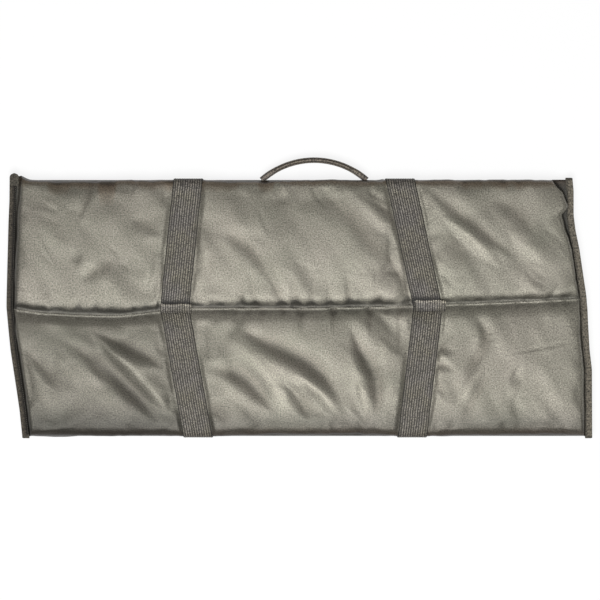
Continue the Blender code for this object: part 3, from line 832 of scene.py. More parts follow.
def painted_shades(grid, folds, puckers, random):
    """How light the cloth is painted from place to place, as a share of its colour, and how brown:
    painted shade in the seam, along the folds, in its valleys and beside the bindings, and painted highlight
    on ridges."""
    light, brown = np.ones(grid.x.shape), np.zeros(grid.x.shape)
    front = grid.face > 0
    scallop = soft_noise(grid.x, grid.y, (13 * MM, 300 * MM), random)
    scallop += 0.6 * soft_noise(grid.x, grid.y, (5 * MM, 300 * MM), random)
    to_right = eased(grid.x, -220, 100)
    for name, half in HALVES.items():
        here = (grid.y - SEAM_Y) * half.side > 0
        near_left = SEAM_NARROWING[name]
        # Painted shade along the centre seam
        gap = (PANEL_DEPTH - grid.depth) * (near_left + (SEAM_NARROWING_RIGHT - near_left) * to_right)
        waver = (scallop * SEAM_WAVER + PUCKER_PULL * puckers) * np.clip((gap - 3 * MM) / (5 * MM), 0, 1)
        seam = profile(np.maximum(gap + waver, np.minimum(gap, 3.2 * MM)), SEAM_SHADE[name])
        seam += (1 - seam) * SEAM_PALER_RIGHT * eased(grid.x, 60, 160)
        light = np.where(here & front, light * seam, light)
        # Painted shade along the fold's rim, deeper near the lower fold, and browner towards the fold
        rim = grid.depth + scallop * np.clip(grid.depth / (6 * MM), 0, 1) * 1.2 * MM
        if name == "upper":
            rim = rim * np.where(front, RIM_USUAL / profile(grid.x, RIM_REACH), 1)
        else:
            near_fold = eased(-grid.depth, -60, 50)
            light = np.where(here & front, light * (1 - LOW_RIM_SHADE * near_fold), light)
        light = np.where(here, light * profile(rim, FOLD_SHADE[name]), light)
        brown = np.where(here, profile(rim, FOLD_BROWN[name]), brown)
        # Painted shade in the slots beside the bindings
        for side, outwards in (("left", -1), ("right", 1)):
            ends = np.array([half.end_x(side, row.depth) for row in ROWS])[:, None]
            inset = (ends - grid.x) * outwards
            light = np.where(here, light * profile(inset, SIDE_SHADE[name, side]), light)
    # Painted shade on the open flange in the upper right corner's recess
    open_flange = front & (grid.rise < 0.25) & (grid.y > SEAM_Y) & (grid.x > 0)
    light = np.where(open_flange, np.minimum(light, 0.2 + 2.4 * grid.rise), light)
    # Painted shade in the valleys of the folds with a brown cast, and painted highlight on their ridges
    valley = np.clip(-folds / MM - 0.1, 0, 2)
    light *= 1 - VALLEY_SHADE * valley + RIDGE_LIGHT * np.clip(folds / MM, 0, 1.5)
    brown = np.maximum(brown, VALLEY_BROWN * np.minimum(valley, 1))
    # Painted shade over the lower left, and painted light and shade from end to end
    lower_left = eased(-grid.x, 40, 260) * (grid.y < SEAM_Y)
    lower_left *= eased(PANEL_DEPTH - grid.depth, 0, 45)
    lower_left *= 0.75 + 0.75 * eased(-grid.depth, -110, 90)
    light *= (1 - LOWER_LEFT_SHADE * lower_left) * profile(grid.x, EVENNESS)
    return np.stack([np.clip(light, 0.05, 1.5), brown], axis=2)


def cover_surface():
    """The outer cloth's grid with all of its relief."""
    grid = Grid()
    random = np.random.default_rng(SEED)
    waves = undulations(grid, random)
    field, long_folds, puckers = (np.zeros(grid.x.shape) for _ in range(3))
    photo_creases(grid, field, long_folds, puckers)
    strap_puckers(grid, field, random)
    for half in HALVES.values():
        line_puckers(grid, field, random, half, True, puckers)
        line_puckers(grid, field, random, half, False, puckers)
        end_puckers(grid, field, random, half)
    for face, kind in LOOSE_FOLDS.items():
        loose_folds(grid, field, random, face, *kind)
    free = eased(grid.strap_gap, 0, 4) * smooth(grid.rise * 2.5) * smooth(grid.row_rise * 2.5)
    # Painted shade and brown cast of the cloth, as shares of its light and of brown
    wear = painted_shades(grid, long_folds * free, puckers * free, random)
    field = (field + waves) * free
    points = grid.base + grid.normal * field[..., None]
    moved = doubled(softened(simulate(grid))) * SIM_SHARE
    size = np.linalg.norm(moved, axis=2, keepdims=True)
    moved *= SIM_CAP / (SIM_CAP + size)
    seam_gap = np.where(grid.face > 0, PANEL_DEPTH - grid.depth, 1)
    held = eased(grid.strap_gap, 0, 9) * eased(seam_gap, 0, 14)
    points += moved * held[..., None]
    points[..., 1] += seam_shift(grid.x, grid.y) * (grid.face > 0)
    points[..., 1] += corner_ear(grid)
    flap = grid.face < 0
    points[..., 2] = np.where(flap, np.maximum(points[..., 2], PLANE_Z - PAD), points[..., 2])
    return grid, points, wear


class Finish:
    """A procedural material, put together from named pieces of its node tree."""

    def __init__(self, name, roughness, specular=0.5, metallic=0.0):
        self.material = bpy.data.materials.new(name)
        self.material.use_nodes = True
        self.tree = self.material.node_tree
        self.shader = self.tree.nodes["Principled BSDF"]
        self.shader.inputs["Roughness"].default_value = roughness
        self.shader.inputs["Specular IOR Level"].default_value = specular
        self.shader.inputs["Metallic"].default_value = metallic
        self.bump = None

    def node(self, kind, **values):
        made = self.tree.nodes.new(kind)
        for name, value in values.items():
            if name in made.inputs:
                made.inputs[name].default_value = value
            else:
                setattr(made, name, value)
        return made

    def join(self, source, target):
        self.tree.links.new(source, target)

    def cloth_place(self, layer="cloth"):
        """Place on the cloth in metres, from the mesh's UV layer."""
        return self.node("ShaderNodeUVMap", uv_map=layer).outputs["UV"]

    def tone_and_painted_shade(self, colour, brown=(1.0, 0.80, 0.68)):
        """The colour made darker, lighter and browner by the painted shade and the tone that the mesh's
        second UV layer holds.
        """
        split = self.node("ShaderNodeSeparateXYZ")
        self.join(self.cloth_place("wear"), split.inputs["Vector"])
        colour = self.tinted(colour, split.outputs["X"])
        return self.tinted(colour, self.ramp(split.outputs["Y"], ((0.0, (1, 1, 1)), (1.0, brown))))

    def noise(self, place, scale, detail=3.0, roughness=0.55):
        made = self.node("ShaderNodeTexNoise", Scale=scale, Detail=detail, Roughness=roughness)
        self.join(place, made.inputs["Vector"])
        return made.outputs["Fac"]

    def ramp(self, value, stops):
        """A colour between two stops, each as (value, colour)."""
        made = self.node("ShaderNodeValToRGB")
        for element, (position, colour) in zip(made.color_ramp.elements, stops):
            element.position, element.color = position, (*colour, 1)
        self.join(value, made.inputs["Fac"])
        return made.outputs["Color"]

    def grey(self, value, low, high, spread=(0.3, 0.7)):
        """A noise value mapped from its spread to low..high."""
        ends = {"From Min": spread[0], "From Max": spread[1], "To Min": low, "To Max": high}
        made = self.node("ShaderNodeMapRange", **ends)
        self.join(value, made.inputs["Value"])
        return made.outputs["Result"]

    def math(self, operation, first, second=None):
        made = self.node("ShaderNodeMath", operation=operation)
        for socket, value in zip(made.inputs, (first, second)):
            if isinstance(value, (int, float)):
                socket.default_value = value
            elif value is not None:
                self.join(value, socket)
        return made.outputs["Value"]

    def tinted(self, colour, factor):
        """The colour made lighter or darker by a factor that varies over the surface."""
        made = self.node("ShaderNodeMix", data_type="RGBA", blend_type="MULTIPLY", Factor=1)
        self.join(colour, made.inputs["A"])
        self.join(factor, made.inputs["B"])
        return made.outputs["Result"]

    def wave(self, place, axis, period, phase=0.0):
        """Threads across one axis of the cloth, 0 to 1, a period apart."""
        split = self.node("ShaderNodeSeparateXYZ")
        self.join(place, split.inputs["Vector"])
        turned = self.math("MULTIPLY", split.outputs[axis], 2 * math.pi / period)
        turned = self.math("ADD", turned, phase)
        return self.math("MULTIPLY_ADD", self.math("SINE", turned), 0.5)

    def shifted(self, place):
        """The place with each rib's weft moved half a step against its neighbour's."""
        split = self.node("ShaderNodeSeparateXYZ")
        self.join(place, split.inputs["Vector"])
        rib = self.math("FLOOR", self.math("DIVIDE", split.outputs["X"], RIB_PITCH))
        moved = self.math("MULTIPLY", rib, WEFT_PITCH / 2)
        uneven = self.math("MULTIPLY", self.noise(place, 55, 3), 6 * MM)
        moved = self.math("ADD", moved, uneven)
        made = self.node("ShaderNodeCombineXYZ")
        self.join(split.outputs["X"], made.inputs["X"])
        self.join(self.math("ADD", split.outputs["Y"], moved), made.inputs["Y"])
        return made.outputs["Vector"]

    def relief(self, value, distance, strength=1.0):
        """Adds a bump of this height in metres under those added before."""
        made = self.node("ShaderNodeBump", Strength=strength, Distance=distance)
        self.join(value, made.inputs["Height"])
        if self.bump is not None:
            self.join(self.bump, made.inputs["Normal"])
        self.bump = made.outputs["Normal"]
        self.join(self.bump, self.shader.inputs["Normal"])

    def colour(self, value):
        self.join(value, self.shader.inputs["Base Color"])

    def roughness(self, value):
        self.join(value, self.shader.inputs["Roughness"])


def nylon():
    """Coated olive nylon: a fine weave, a satin face and faint stains, with the painted shade of its UV
    layer.
    """
    made = Finish("olive_nylon", 0.42, 0.5, 0.55)
    place = made.cloth_place()
    cloud = made.noise(place, 9, 4)
    grain = made.noise(place, 430, 3, 0.8)
    colour = made.ramp(cloud, ((0.3, (0.152, 0.146, 0.116)), (0.7, (0.176, 0.162, 0.134))))
    colour = made.tinted(colour, made.grey(grain, 0.28, 1.7, (0.32, 0.68)))
    made.colour(made.tone_and_painted_shade(colour))
    made.roughness(made.grey(made.noise(place, 30, 3), 0.40, 0.46))
    threads = made.math("ADD", made.wave(place, "X", 0.9 * MM), made.wave(place, "Y", 0.9 * MM))
    made.relief(threads, 0.05 * MM, 0.6)
    made.relief(grain, 0.5 * MM, 0.6)
    made.relief(made.noise(place, 130, 3), 0.4 * MM, 0.35)
    return made.material


def webbing():
    """Ribbed polypropylene webbing: pale floats of yarn on each rib and dark grooves between, partly painted
    shade, with the painted shade of its UV layer.
    """
    made = Finish("webbing", 0.62, 0.4)
    place = made.cloth_place()
    ribs = made.wave(place, "X", RIB_PITCH, -math.pi / 2)
    weft = made.wave(made.shifted(place), "Y", WEFT_PITCH)
    dots = made.math("MULTIPLY", made.math("POWER", ribs, 1.1), made.grey(weft, 0.3, 1, (0.1, 0.8)))
    fuzz = made.noise(place, 520, 2, 0.7)
    # Random patches of lighter and darker tone
    tone_and_painted_shade = made.noise(place, 45, 3, 0.6)
    coarse = made.noise(place, 260, 2, 0.8)
    speckled = dots
    for value, low, high in ((fuzz, 0.0, 1.95), (tone_and_painted_shade, 0.65, 1.25), (coarse, 0.1, 2.1)):
        speckled = made.math("MULTIPLY", speckled, made.grey(value, low, high))
    # The near-black end of the ramp is partly painted shade in the grooves between the ribs
    colour = made.ramp(speckled, ((0.0, (0.016, 0.015, 0.012)), (0.95, (0.295, 0.28, 0.245))))
    patches = made.noise(place, 22, 3, 0.6)
    tints = ((0.35, (0.97, 0.935, 0.97)), (0.62, (1.0, 0.96, 0.86)))
    made.colour(made.tone_and_painted_shade(made.tinted(colour, made.ramp(patches, tints))))
    made.relief(dots, 0.4 * MM, 0.8)
    made.relief(fuzz, 0.35 * MM, 0.6)
    return made.material


def tape():
    """Binding tape: a dull brown-grey grosgrain with fine cross ribs."""
    made = Finish("binding_tape", 0.8, 0.3)
    place = made.cloth_place()
    ribs = made.wave(place, "Y", 1.1 * MM)
    fuzz = made.noise(place, 320, 2, 0.7)
    colour = made.ramp(fuzz, ((0.32, (0.006, 0.006, 0.005)), (0.68, (0.118, 0.106, 0.083))))
    made.colour(made.tone_and_painted_shade(colour))
    made.relief(ribs, 0.2 * MM, 0.6)
    made.relief(fuzz, 0.2 * MM, 0.5)
    return made.material


def lining_cloth():
    """Dark coated lining with a small ripstop check."""
    made = Finish("lining_nylon", 0.42, 0.6)
    place = made.cloth_place()
    cloud = made.noise(place, 12, 4)
    made.colour(made.ramp(cloud, ((0.3, (0.050, 0.055, 0.045)), (0.7, (0.070, 0.074, 0.060)))))
    check = made.math("MAXIMUM", made.wave(place, "X", 6 * MM), made.wave(place, "Y", 6 * MM))
    made.relief(made.math("POWER", check, 12), 0.2 * MM, 0.5)
    made.relief(made.noise(place, 90, 3), 0.6 * MM, 0.5)
    return made.material


THREADS = {
    "sewing_thread": ((0.13, 0.125, 0.10), (0.24, 0.225, 0.18)),
    "seam_thread": ((0.26, 0.25, 0.21), (0.48, 0.46, 0.39)),
}


def thread(name, dark, light):
    """Sewing thread, mottled between a dark and a light colour."""
    made = Finish(name, 0.5, 0.5)
    place = made.node("ShaderNodeTexCoord").outputs["Object"]
    made.colour(made.ramp(made.noise(place, 500), ((0.3, dark), (0.7, light))))
    made.relief(made.noise(place, 1500), 0.1 * MM, 0.5)
    return made.material


class Shape:
    """Vertices and faces gathered from grids and stitches, to be made into one object."""

    def __init__(self):
        self.points, self.faces, self.uvs, self.slots, self.normals, self.wear = [], [], [], [], [], []
        self.count = 0

    def add(self, points, faces, uv, slot=0, normals=None, wear=None):
        points = np.asarray(points, float).reshape(-1, 3)
        self.points.append(points)
        self.faces += [tuple(int(i) + self.count for i in face) for face in faces]
        self.uvs.append(np.asarray(uv, float).reshape(-1, 2))
        self.slots += [slot] * len(faces)
        self.normals.append(np.zeros_like(points) if normals is None else normals.reshape(-1, 3))
        self.wear.append(np.tile([1.0, 0.0], (len(points), 1)) if wear is None else wear.reshape(-1, 2))
        self.count += len(points)

    def add_grid(self, points, uv, normals, wear=None):
        self.add(points, grid_faces(*points.shape[:2]), uv, 0, normals, wear)

    def add_tube(self, rings, uv, caps, normals, wear):
        """Rings of points joined into a tube, closed at the ends that have a cap."""
        count, around = rings.shape[:2]
        faces = []
        for ring in range(count - 1):
            for step in range(around):
                a, b = ring * around + step, ring * around + (step + 1) % around
                faces.append((a, b, b + around, a + around))
        if caps[0]:
            faces.append(tuple(range(around))[::-1])
        if caps[1]:
            faces.append(tuple((count - 1) * around + step for step in range(around)))
        self.add(rings, faces, uv, 0, normals, wear)

    def build(self, name, materials):
        obj = make_mesh(name, np.concatenate(self.points), self.faces)
        mesh = obj.data
        for material in materials:
            mesh.materials.append(material)
        mesh.polygons.foreach_set("material_index", self.slots)
        corners = np.empty(len(mesh.loops), int)
        mesh.loops.foreach_get("vertex_index", corners)
        # The second UV layer holds painted shade and tone: a light share and a brown share
        for layer_name, values in (("cloth", self.uvs), ("wear", self.wear)):
            layer = mesh.uv_layers.new(name=layer_name)
            layer.data.foreach_set("uv", np.concatenate(values)[corners].astype(np.float32).ravel())
        normals = np.concatenate(self.normals)
        if np.any(normals):
            mesh.normals_split_custom_set_from_vertices(normals.tolist())
        mesh.update()
        return obj


def piece_rows(first, second, count):
    """The rows of the three pieces that a line over the whole mat is cut into."""
    return {"upper": slice(0, first + 1), "centre": slice(first, second + 1), "lower": slice(second, count)}


def cover_pieces(grid, points, wear, materials):
    """The cover cut at two rows, so that each piece crosses one joint."""
    normals = normals_of(points)
    along = np.broadcast_to(grid.along[:, None], grid.x.shape)
    uv = np.stack([grid.x, along], axis=2)
    made = {}
    for name, rows in piece_rows(*SPLIT_ROWS, len(ROWS)).items():
        shape = Shape()
        shape.add_grid(points[rows], uv[rows], normals[rows], wear[rows])
        made[name] = shape.build(f"{name}_cloth", materials)
    return made


def blend_fold(obj):
    """Bakes a piece's transform into its mesh, for a piece between a front panel and its flap."""
    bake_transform(obj)


def blend_seam(obj):
    """Bakes a piece's transform into its mesh, for a piece between the two front panels."""
    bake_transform(obj)


def covers(materials):
    grid, points, wear = cover_surface()
    made = cover_pieces(grid, points, wear, materials)
    for name, half in HALVES.items():
        piece = made[name]
        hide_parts(f"{name}_cover", f"{name}_foam", f"{name}_flap_cover", f"{name}_flap_foam")
        blend_fold(piece)
    blend_seam(made["centre"])
    return grid, points


def tube_normals(rings):
    """Smooth outward normals for rings of points that run round a piece."""
    around = np.roll(rings, -1, axis=1) - np.roll(rings, 1, axis=1)
    along = np.gradient(rings, axis=0)
    normal = unit(np.cross(along, around))
    outward = rings - rings.mean(axis=1, keepdims=True)
    return normal if (normal * outward).sum() > 0 else -normal


def add_tube(shape, rings, uv, wear=None):
    """Closed rings of points joined into a piece, turned so that its faces look outwards."""
    around = np.roll(rings, -1, axis=1) - rings
    along = np.gradient(rings, axis=0)
    outward = rings - rings.mean(axis=1, keepdims=True)
    if (np.cross(around, along) * outward).sum() < 0:
        rings, uv = rings[:, ::-1], uv[:, ::-1]
        wear = None if wear is None else wear[:, ::-1]
    shape.add_tube(rings, uv, (True, True), tube_normals(rings), wear)


OCTAHEDRON = np.array([
    (0, 2, 4), (2, 1, 4), (1, 3, 4), (3, 0, 4), (2, 0, 5), (1, 2, 5), (3, 1, 5), (0, 3, 5),
])
# Stitches as pitch, length, width and how far they stand proud
USUAL_STITCH = (3.6 * MM, 2.7 * MM, 0.75 * MM, 0.3 * MM)
BAR_STITCH = (3.2 * MM, 2.2 * MM, 0.75 * MM, 0.3 * MM)
GRIP_STITCH = (3.4 * MM, 2.3 * MM, 0.6 * MM, 0.3 * MM)
SEAM_STITCH = (4.3 * MM, 3.0 * MM, 1.3 * MM, 0.5 * MM)
# How far the middle of a stitch lies off the webbing
STITCH_LIFT = 0.15 * MM


def add_stitches(shape, path, normals, slot, stitch=USUAL_STITCH):
    """A row of stitches along a path on a surface."""
    pitch, length, width, proud = stitch
    run = run_along(path)
    at = np.arange(pitch / 2, run[-1], pitch)
    places = read_along(path, run, at)
    ahead = read_along(path, run, at + pitch / 4)
    behind = read_along(path, run, at - pitch / 4)
    up = unit(read_along(normals, run, at))
    along = unit(ahead - behind)
    side = np.cross(up, along)
    offsets = [along * length / 2, -along * length / 2, side * width / 2, -side * width / 2,
               up * proud, -up * proud]
    points = np.stack([places + offset for offset in offsets], axis=1)
    faces = np.concatenate([OCTAHEDRON + 6 * number for number in range(len(at))])
    shape.add(points, faces.tolist(), points.reshape(-1, 3)[:, :2], slot)


def add_level_stitches(shape, line, lift, stitch=USUAL_STITCH):
    """A row of stitches on a level face, lifted a little off it. A negative lift is for a face
    that looks down."""
    line = line + np.array([0, 0, lift])
    add_stitches(shape, line, np.tile([0, 0, math.copysign(1.0, lift)], (len(line), 1)), 1, stitch)


# Straps

def strap_line():
    """The y and z of a strap's under face on each row of the covers."""
    places = []
    for row in ROWS:
        height = row.height(1) - STRAP_BED[row.face] * row.rise + 0.1 * MM
        if row.face < 0 and row.depth > FLAP_DEPTH - FLANGE_WIDTH - 4 * MM:
            height = max(height, TAPE_TOP + 0.2 * MM)
        places.append((row.half.y(row.depth), PLANE_Z + row.face * height))
    return np.array(places)


def strap_rings(side):
    """Rings of one strap from one flap's edge to the other's, their places on the weave, the way
    up from the cloth and their painted shade."""
    places = strap_line()
    middles = np.array([row.half.strap_x(side, row.depth, row.face) for row in ROWS])
    ends = []
    for half in HALVES.values():
        depth = FLAP_DEPTH + STRAP_REACH
        ends.append((half.strap_x(side, depth, -1), half.y(depth)))
    tuck = TAPE_TOP + 0.2 * MM
    places = np.concatenate([[(ends[0][1], PLANE_Z - tuck)], places, [(ends[1][1], PLANE_Z - tuck)]])
    middles = np.concatenate([[ends[0][0]], middles, [ends[1][0]]])
    path = np.stack([middles, places[:, 0], places[:, 1]], axis=1)
    tangent = np.gradient(path, axis=0)
    up = unit(np.stack([0 * middles, tangent[:, 2], -tangent[:, 1]], axis=1))
    half_width = STRAP_WIDTH / 2
    across, rise = [], []
    count = RIB_COUNT * RIB_STEPS
    for number in range(count + 1):
        share = number / count
        rib = abs(math.sin(share * RIB_COUNT * math.pi)) ** 0.6
        across.append((share - 0.5) * (STRAP_WIDTH - 1 * MM))
        rise.append(STRAP_THICKNESS - RIB_HEIGHT * (1 - rib))
    across += [half_width - 0.1 * MM, half_width, half_width - 0.2 * MM, 0.3 * half_width]
    across += [-0.3 * half_width, 0.2 * MM - half_width, -half_width, 0.1 * MM - half_width]
    rise += [share * STRAP_THICKNESS for share in (0.75, 0.45, 0.1, 0, 0, 0.1, 0.45, 0.75)]
    across, rise = np.array(across), np.array(rise)
    run = run_along(path)
    random = np.random.default_rng(SEED + (1 if side == "left" else 2))
    wobble = wavering(random, len(run), 11, 5) * 0.35 * MM
    rings = path[:, None] + up[:, None] * rise[None, :, None]
    rings[..., 0] += across + wobble[:, None]
    uv = np.stack(np.broadcast_arrays(across[None, :], run[:, None]), axis=2)
    # Darker selvedges, partly the edge yarn's own colour and partly painted shade
    edge = np.where(np.abs(across) > half_width - 2.2 * MM, 0.5, 1.0)
    # Painted shadow of the seam bar on the strap, and browner painted shade where it turns round a fold
    _, far, near = BARS[side]
    over_bar = path[:, 1] / MM - far
    front = path[:, 2] > PLANE_Z
    near_bar = (-30, near - far - 3, near - far, 0.0, 3.0, 5.0, 9)
    bar_shade = np.interp(over_bar, near_bar, (1, 1, 0.4, 0.1, 0.12, 0.5, 1))
    fold_gap = np.minimum(*(np.abs(path[:, 1] - half.fold_y) for half in HALVES.values()))
    fold_shade = profile(fold_gap, ((0, 0.55), (3, 0.62), (8, 0.85), (18, 1)))
    light = np.where(front, bar_shade, 1)[:, None] * fold_shade[:, None] * edge[None, :]
    wear = np.stack([light, 0.5 * (1 - fold_shade)[:, None] + 0 * light], axis=2)
    return rings, uv, up, wear


def straps(materials):
    for side in ("left", "right"):
        rings, uv, up, wear = strap_rings(side)
        around = np.roll(rings, -1, axis=1) - np.roll(rings, 1, axis=1)
        normals = unit(np.cross(around, np.gradient(rings, axis=0)))
        if normals[len(rings) // 2, 20, 2] < 0:
            normals = -normals
        for name, rows in piece_rows(SPLIT_ROWS[0] + 1, SPLIT_ROWS[1] + 1, len(rings)).items():
            shape = Shape()
            caps = (name == "upper", name == "lower")
            backwards = (rows, slice(None, None, -1))
            shape.add_tube(rings[backwards], uv[backwards], caps, normals[backwards], wear[backwards])
            for column in (3, RIB_COUNT * RIB_STEPS - 3):
                line = rings[rows, column] + up[rows] * STITCH_LIFT
                add_stitches(shape, line, up[rows], 1)
            piece = shape.build(f"{name}_{side}_webbing", materials)
            if name == "centre":
                blend_seam(piece)
            else:
                blend_fold(piece)
                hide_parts(f"{name}_{side}_strap", f"{name}_flap_{side}_strap")


# Bars where the straps cross the seam, in mm: x of the middle, y of the far and the near edge
BARS = {"left": (-211, -12.5, -28), "right": (225, -6, -25)}
# Painted highlight on a bar's folded far hem and painted shade at its near edge, from its far edge to its
# near one, as places and values
BAR_LIGHT = ((-1, -0.9, -0.6, -0.45, 0.5, 0.7, 0.85, 1), (1.5, 2.3, 2.1, 1.05, 1.05, 0.45, 0.9, 0.5))
BAR_WIDTH = 53 * MM
BAR_THICKNESS = 1.6 * MM
BAR_ROWS, BAR_COLUMNS = 15, 45
BAR_RIBS = 11


def seam_bars(materials):
    """A short piece of webbing with folded edges over each strap at the centre seam."""
    places = strap_line()
    order = np.argsort(places[:, 0])
    front = [n for n in order if ROWS[n].face > 0]
    ys, zs = places[front, 0], places[front, 1]
    for side, (x, far, near) in BARS.items():
        x, far, near = x * MM, far * MM, near * MM
        y = np.linspace(far, near, BAR_ROWS)
        across = np.linspace(-0.5, 0.5, BAR_COLUMNS)
        base = np.interp(y, ys, zs) + STRAP_THICKNESS + 0.1 * MM
        base = np.convolve(np.pad(base, 3, "edge"), np.ones(7) / 7, "valid")
        share = np.linspace(-1, 1, BAR_ROWS)
        hem = 0.9 * MM * np.exp(-(((share + 0.80) / 0.16) ** 2))
        hem += 0.5 * MM * np.exp(-(((share - 0.85) / 0.14) ** 2))
        rib = 0.3 * MM * np.abs(np.sin(across * BAR_RIBS * math.pi)) ** 0.6
        top = base[:, None] + BAR_THICKNESS + hem[:, None] + rib[None, :]
        edge = np.minimum(1, np.minimum(1 - np.abs(share), 0.12) / 0.12)
        ends = np.minimum(1, (0.5 - np.abs(across)) / 0.03)
        top -= (1 - np.sqrt(np.clip(edge, 0, 1)))[:, None] * 1.4 * MM
        top -= (1 - np.sqrt(np.clip(ends, 0, 1)))[None, :] * 1.2 * MM
        grid_x = x + across[None, :] * BAR_WIDTH + 0 * y[:, None]
        grid_y = y[:, None] + 0 * across[None, :] + 0.6 * MM * np.sin(across * 9)[None, :]
        upper = np.stack([grid_x, grid_y, top], axis=2)
        lower = np.stack([grid_x, grid_y, base[:, None] + 0 * top], axis=2)
        rings = np.concatenate([upper, lower[:, ::-1]], axis=1)
        uv = np.stack([grid_x, grid_y], axis=2)
        # Painted highlight on the far hem and painted shade at the near edge
        light = np.interp(share, *BAR_LIGHT)[:, None] + 0 * grid_x
        wear = np.stack([light, 0 * light], axis=2)
        shape = Shape()
        wear = np.concatenate([wear, wear[:, ::-1]], axis=1)
        add_tube(shape, rings, np.concatenate([uv, uv[:, ::-1]], axis=1), wear=wear)
        for row in (2, BAR_ROWS - 3):
            add_level_stitches(shape, upper[row, 2:-2], STITCH_LIFT, BAR_STITCH)
        for column in (2, BAR_COLUMNS - 3):
            add_level_stitches(shape, upper[2:-2, column], STITCH_LIFT, BAR_STITCH)
        piece = shape.build(f"{side}_seam_bar_webbing", materials)
        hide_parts(f"{side}_seam_bar")
        blend_seam(piece)


# Binding tape

TAPE_WIDTH = 12 * MM
TAPE_THICKNESS = 1.0 * MM
TAPE_ROUND = 1.1 * MM
# Where a tape begins beside the fold's line, and the radius of its corners on a flap
TAPE_START = 0.3 * MM
CORNER_RADIUS = 3.5 * MM
# The turn round a fold: the inner radius
TURN_FLOOR = 2.4 * MM
# The piece over the seam: its reach to each side
BRIDGE = 7 * MM
# How light the tapes are painted, one tape painted darker at the left end and lighter at the right, and the
# painted shade of the slot beside the cloth from the outer edge inwards, as (inset in mm, share)
TAPE_LIGHT = {"left": 0.95, "right": 2.0}
LEFT_TAPE_SHADE = ((0, 1.0), (5, 0.95), (7, 0.5), (9, 0.16), (12, 0.10))
RIGHT_TAPE_SHADE = ((0, 1.0), (8, 1.0), (10, 0.7), (12, 0.35))
# The loose end of tape at the upper left corner
TIP_REACH = 11.5 * MM
TIP_WIDTH = 16 * MM


def tape_profile():
    """The folded tape's section as (inset, height), and the distance round its outside."""
    low, high = INNER_FACE, TAPE_TOP
    points = [(TAPE_WIDTH, low)]
    points += [(TAPE_WIDTH * share, low) for share in (0.7, 0.4)]
    for turn in np.radians(np.linspace(-90, -180, 4)):
        points.append((TAPE_ROUND * (1 + math.cos(turn)), low + TAPE_ROUND * (1 + math.sin(turn))))
    for turn in np.radians(np.linspace(180, 90, 4)):
        points.append((TAPE_ROUND * (1 + math.cos(turn)), high - TAPE_ROUND * (1 - math.sin(turn))))
    for share in (0.3, 0.5, 0.7, 0.8):
        points.append((TAPE_WIDTH * share, high + 0.25 * MM * math.sin(math.pi * share)))
    points += [(TAPE_WIDTH * 0.87, high - 0.12 * MM), (TAPE_WIDTH * 0.94, high)]
    points += [(TAPE_WIDTH, high - 0.25 * MM), (TAPE_WIDTH, high - TAPE_THICKNESS)]
    points += [(TAPE_THICKNESS * 1.2, high - TAPE_THICKNESS), (TAPE_THICKNESS * 1.2, low + TAPE_THICKNESS)]
    points += [(TAPE_WIDTH, low + TAPE_THICKNESS)]
    return np.array(points)


PROFILE = tape_profile()
PROFILE_RUN = run_along(PROFILE)
UNDER_SIDE = PROFILE[:, 1] < TAPE_TOP - 1 * MM
STITCH_POINT = int(np.argmin(np.abs(PROFILE[:, 0] - TAPE_WIDTH * 0.87) + 10 * UNDER_SIDE))


def tape_rings(outer, inward, face, random):
    """Rings of the folded tape along its outer edge; inward points into the mat in plan."""
    inset, height = PROFILE[:, 0], PROFILE[:, 1]
    wander = wavering(random, len(outer), 9, 3) * 0.35 * MM
    swell = wavering(random, len(outer), 9, 3) * 0.12 * MM
    reach = np.clip(inset / TAPE_WIDTH, 0, 1)
    plan = outer[:, None] + inward[:, None] * inset[None, :, None]
    plan += inward[:, None] * (wander[:, None] * reach[None, :] ** 2)[..., None]
    lift = np.where(height > TAPE_TOP - 0.6 * MM, 1.0, 0.0) * reach
    z = PLANE_Z + face * (height[None, :] + swell[:, None] * lift[None, :])
    rings = np.concatenate([plan, z[..., None]], axis=2)
    uv = np.stack(np.broadcast_arrays(PROFILE_RUN[None, :], run_along(outer)[:, None]), axis=2)
    return rings, uv


def add_tape(shape, outer, inward, face, random, lightness=1.0):
    """Adds the folded tape and its row of stitches, with painted shade towards the cloth."""
    rings, uv = tape_rings(outer, inward, face, random)
    # The darker tape takes the left end's deeper, browner painted shade
    shade, brown = (LEFT_TAPE_SHADE, 0.25) if lightness < 1 else (RIGHT_TAPE_SHADE, 0.08)
    light = np.tile(lightness * profile(PROFILE[:, 0], shade), (len(rings), 1))
    add_tube(shape, rings, uv, wear=np.stack([light, brown + 0 * light], axis=2))
    add_level_stitches(shape, rings[:, STITCH_POINT], face * 0.12 * MM)


def side_line(half, side, start, end, step=4 * MM):
    """Points and inward directions along a mat end, between two depths."""
    count = max(2, int(abs(end - start) / step) + 1)
    depths = np.linspace(start, end, count)
    points = np.array([(half.end_x(side, depth), half.y(depth)) for depth in depths])
    run = unit(points[-1] - points[0])
    inward = np.array([abs(run[1]), -run[0] * np.sign(run[1])])
    inward *= 1 if side == "left" else -1
    return points, np.tile(inward, (count, 1))


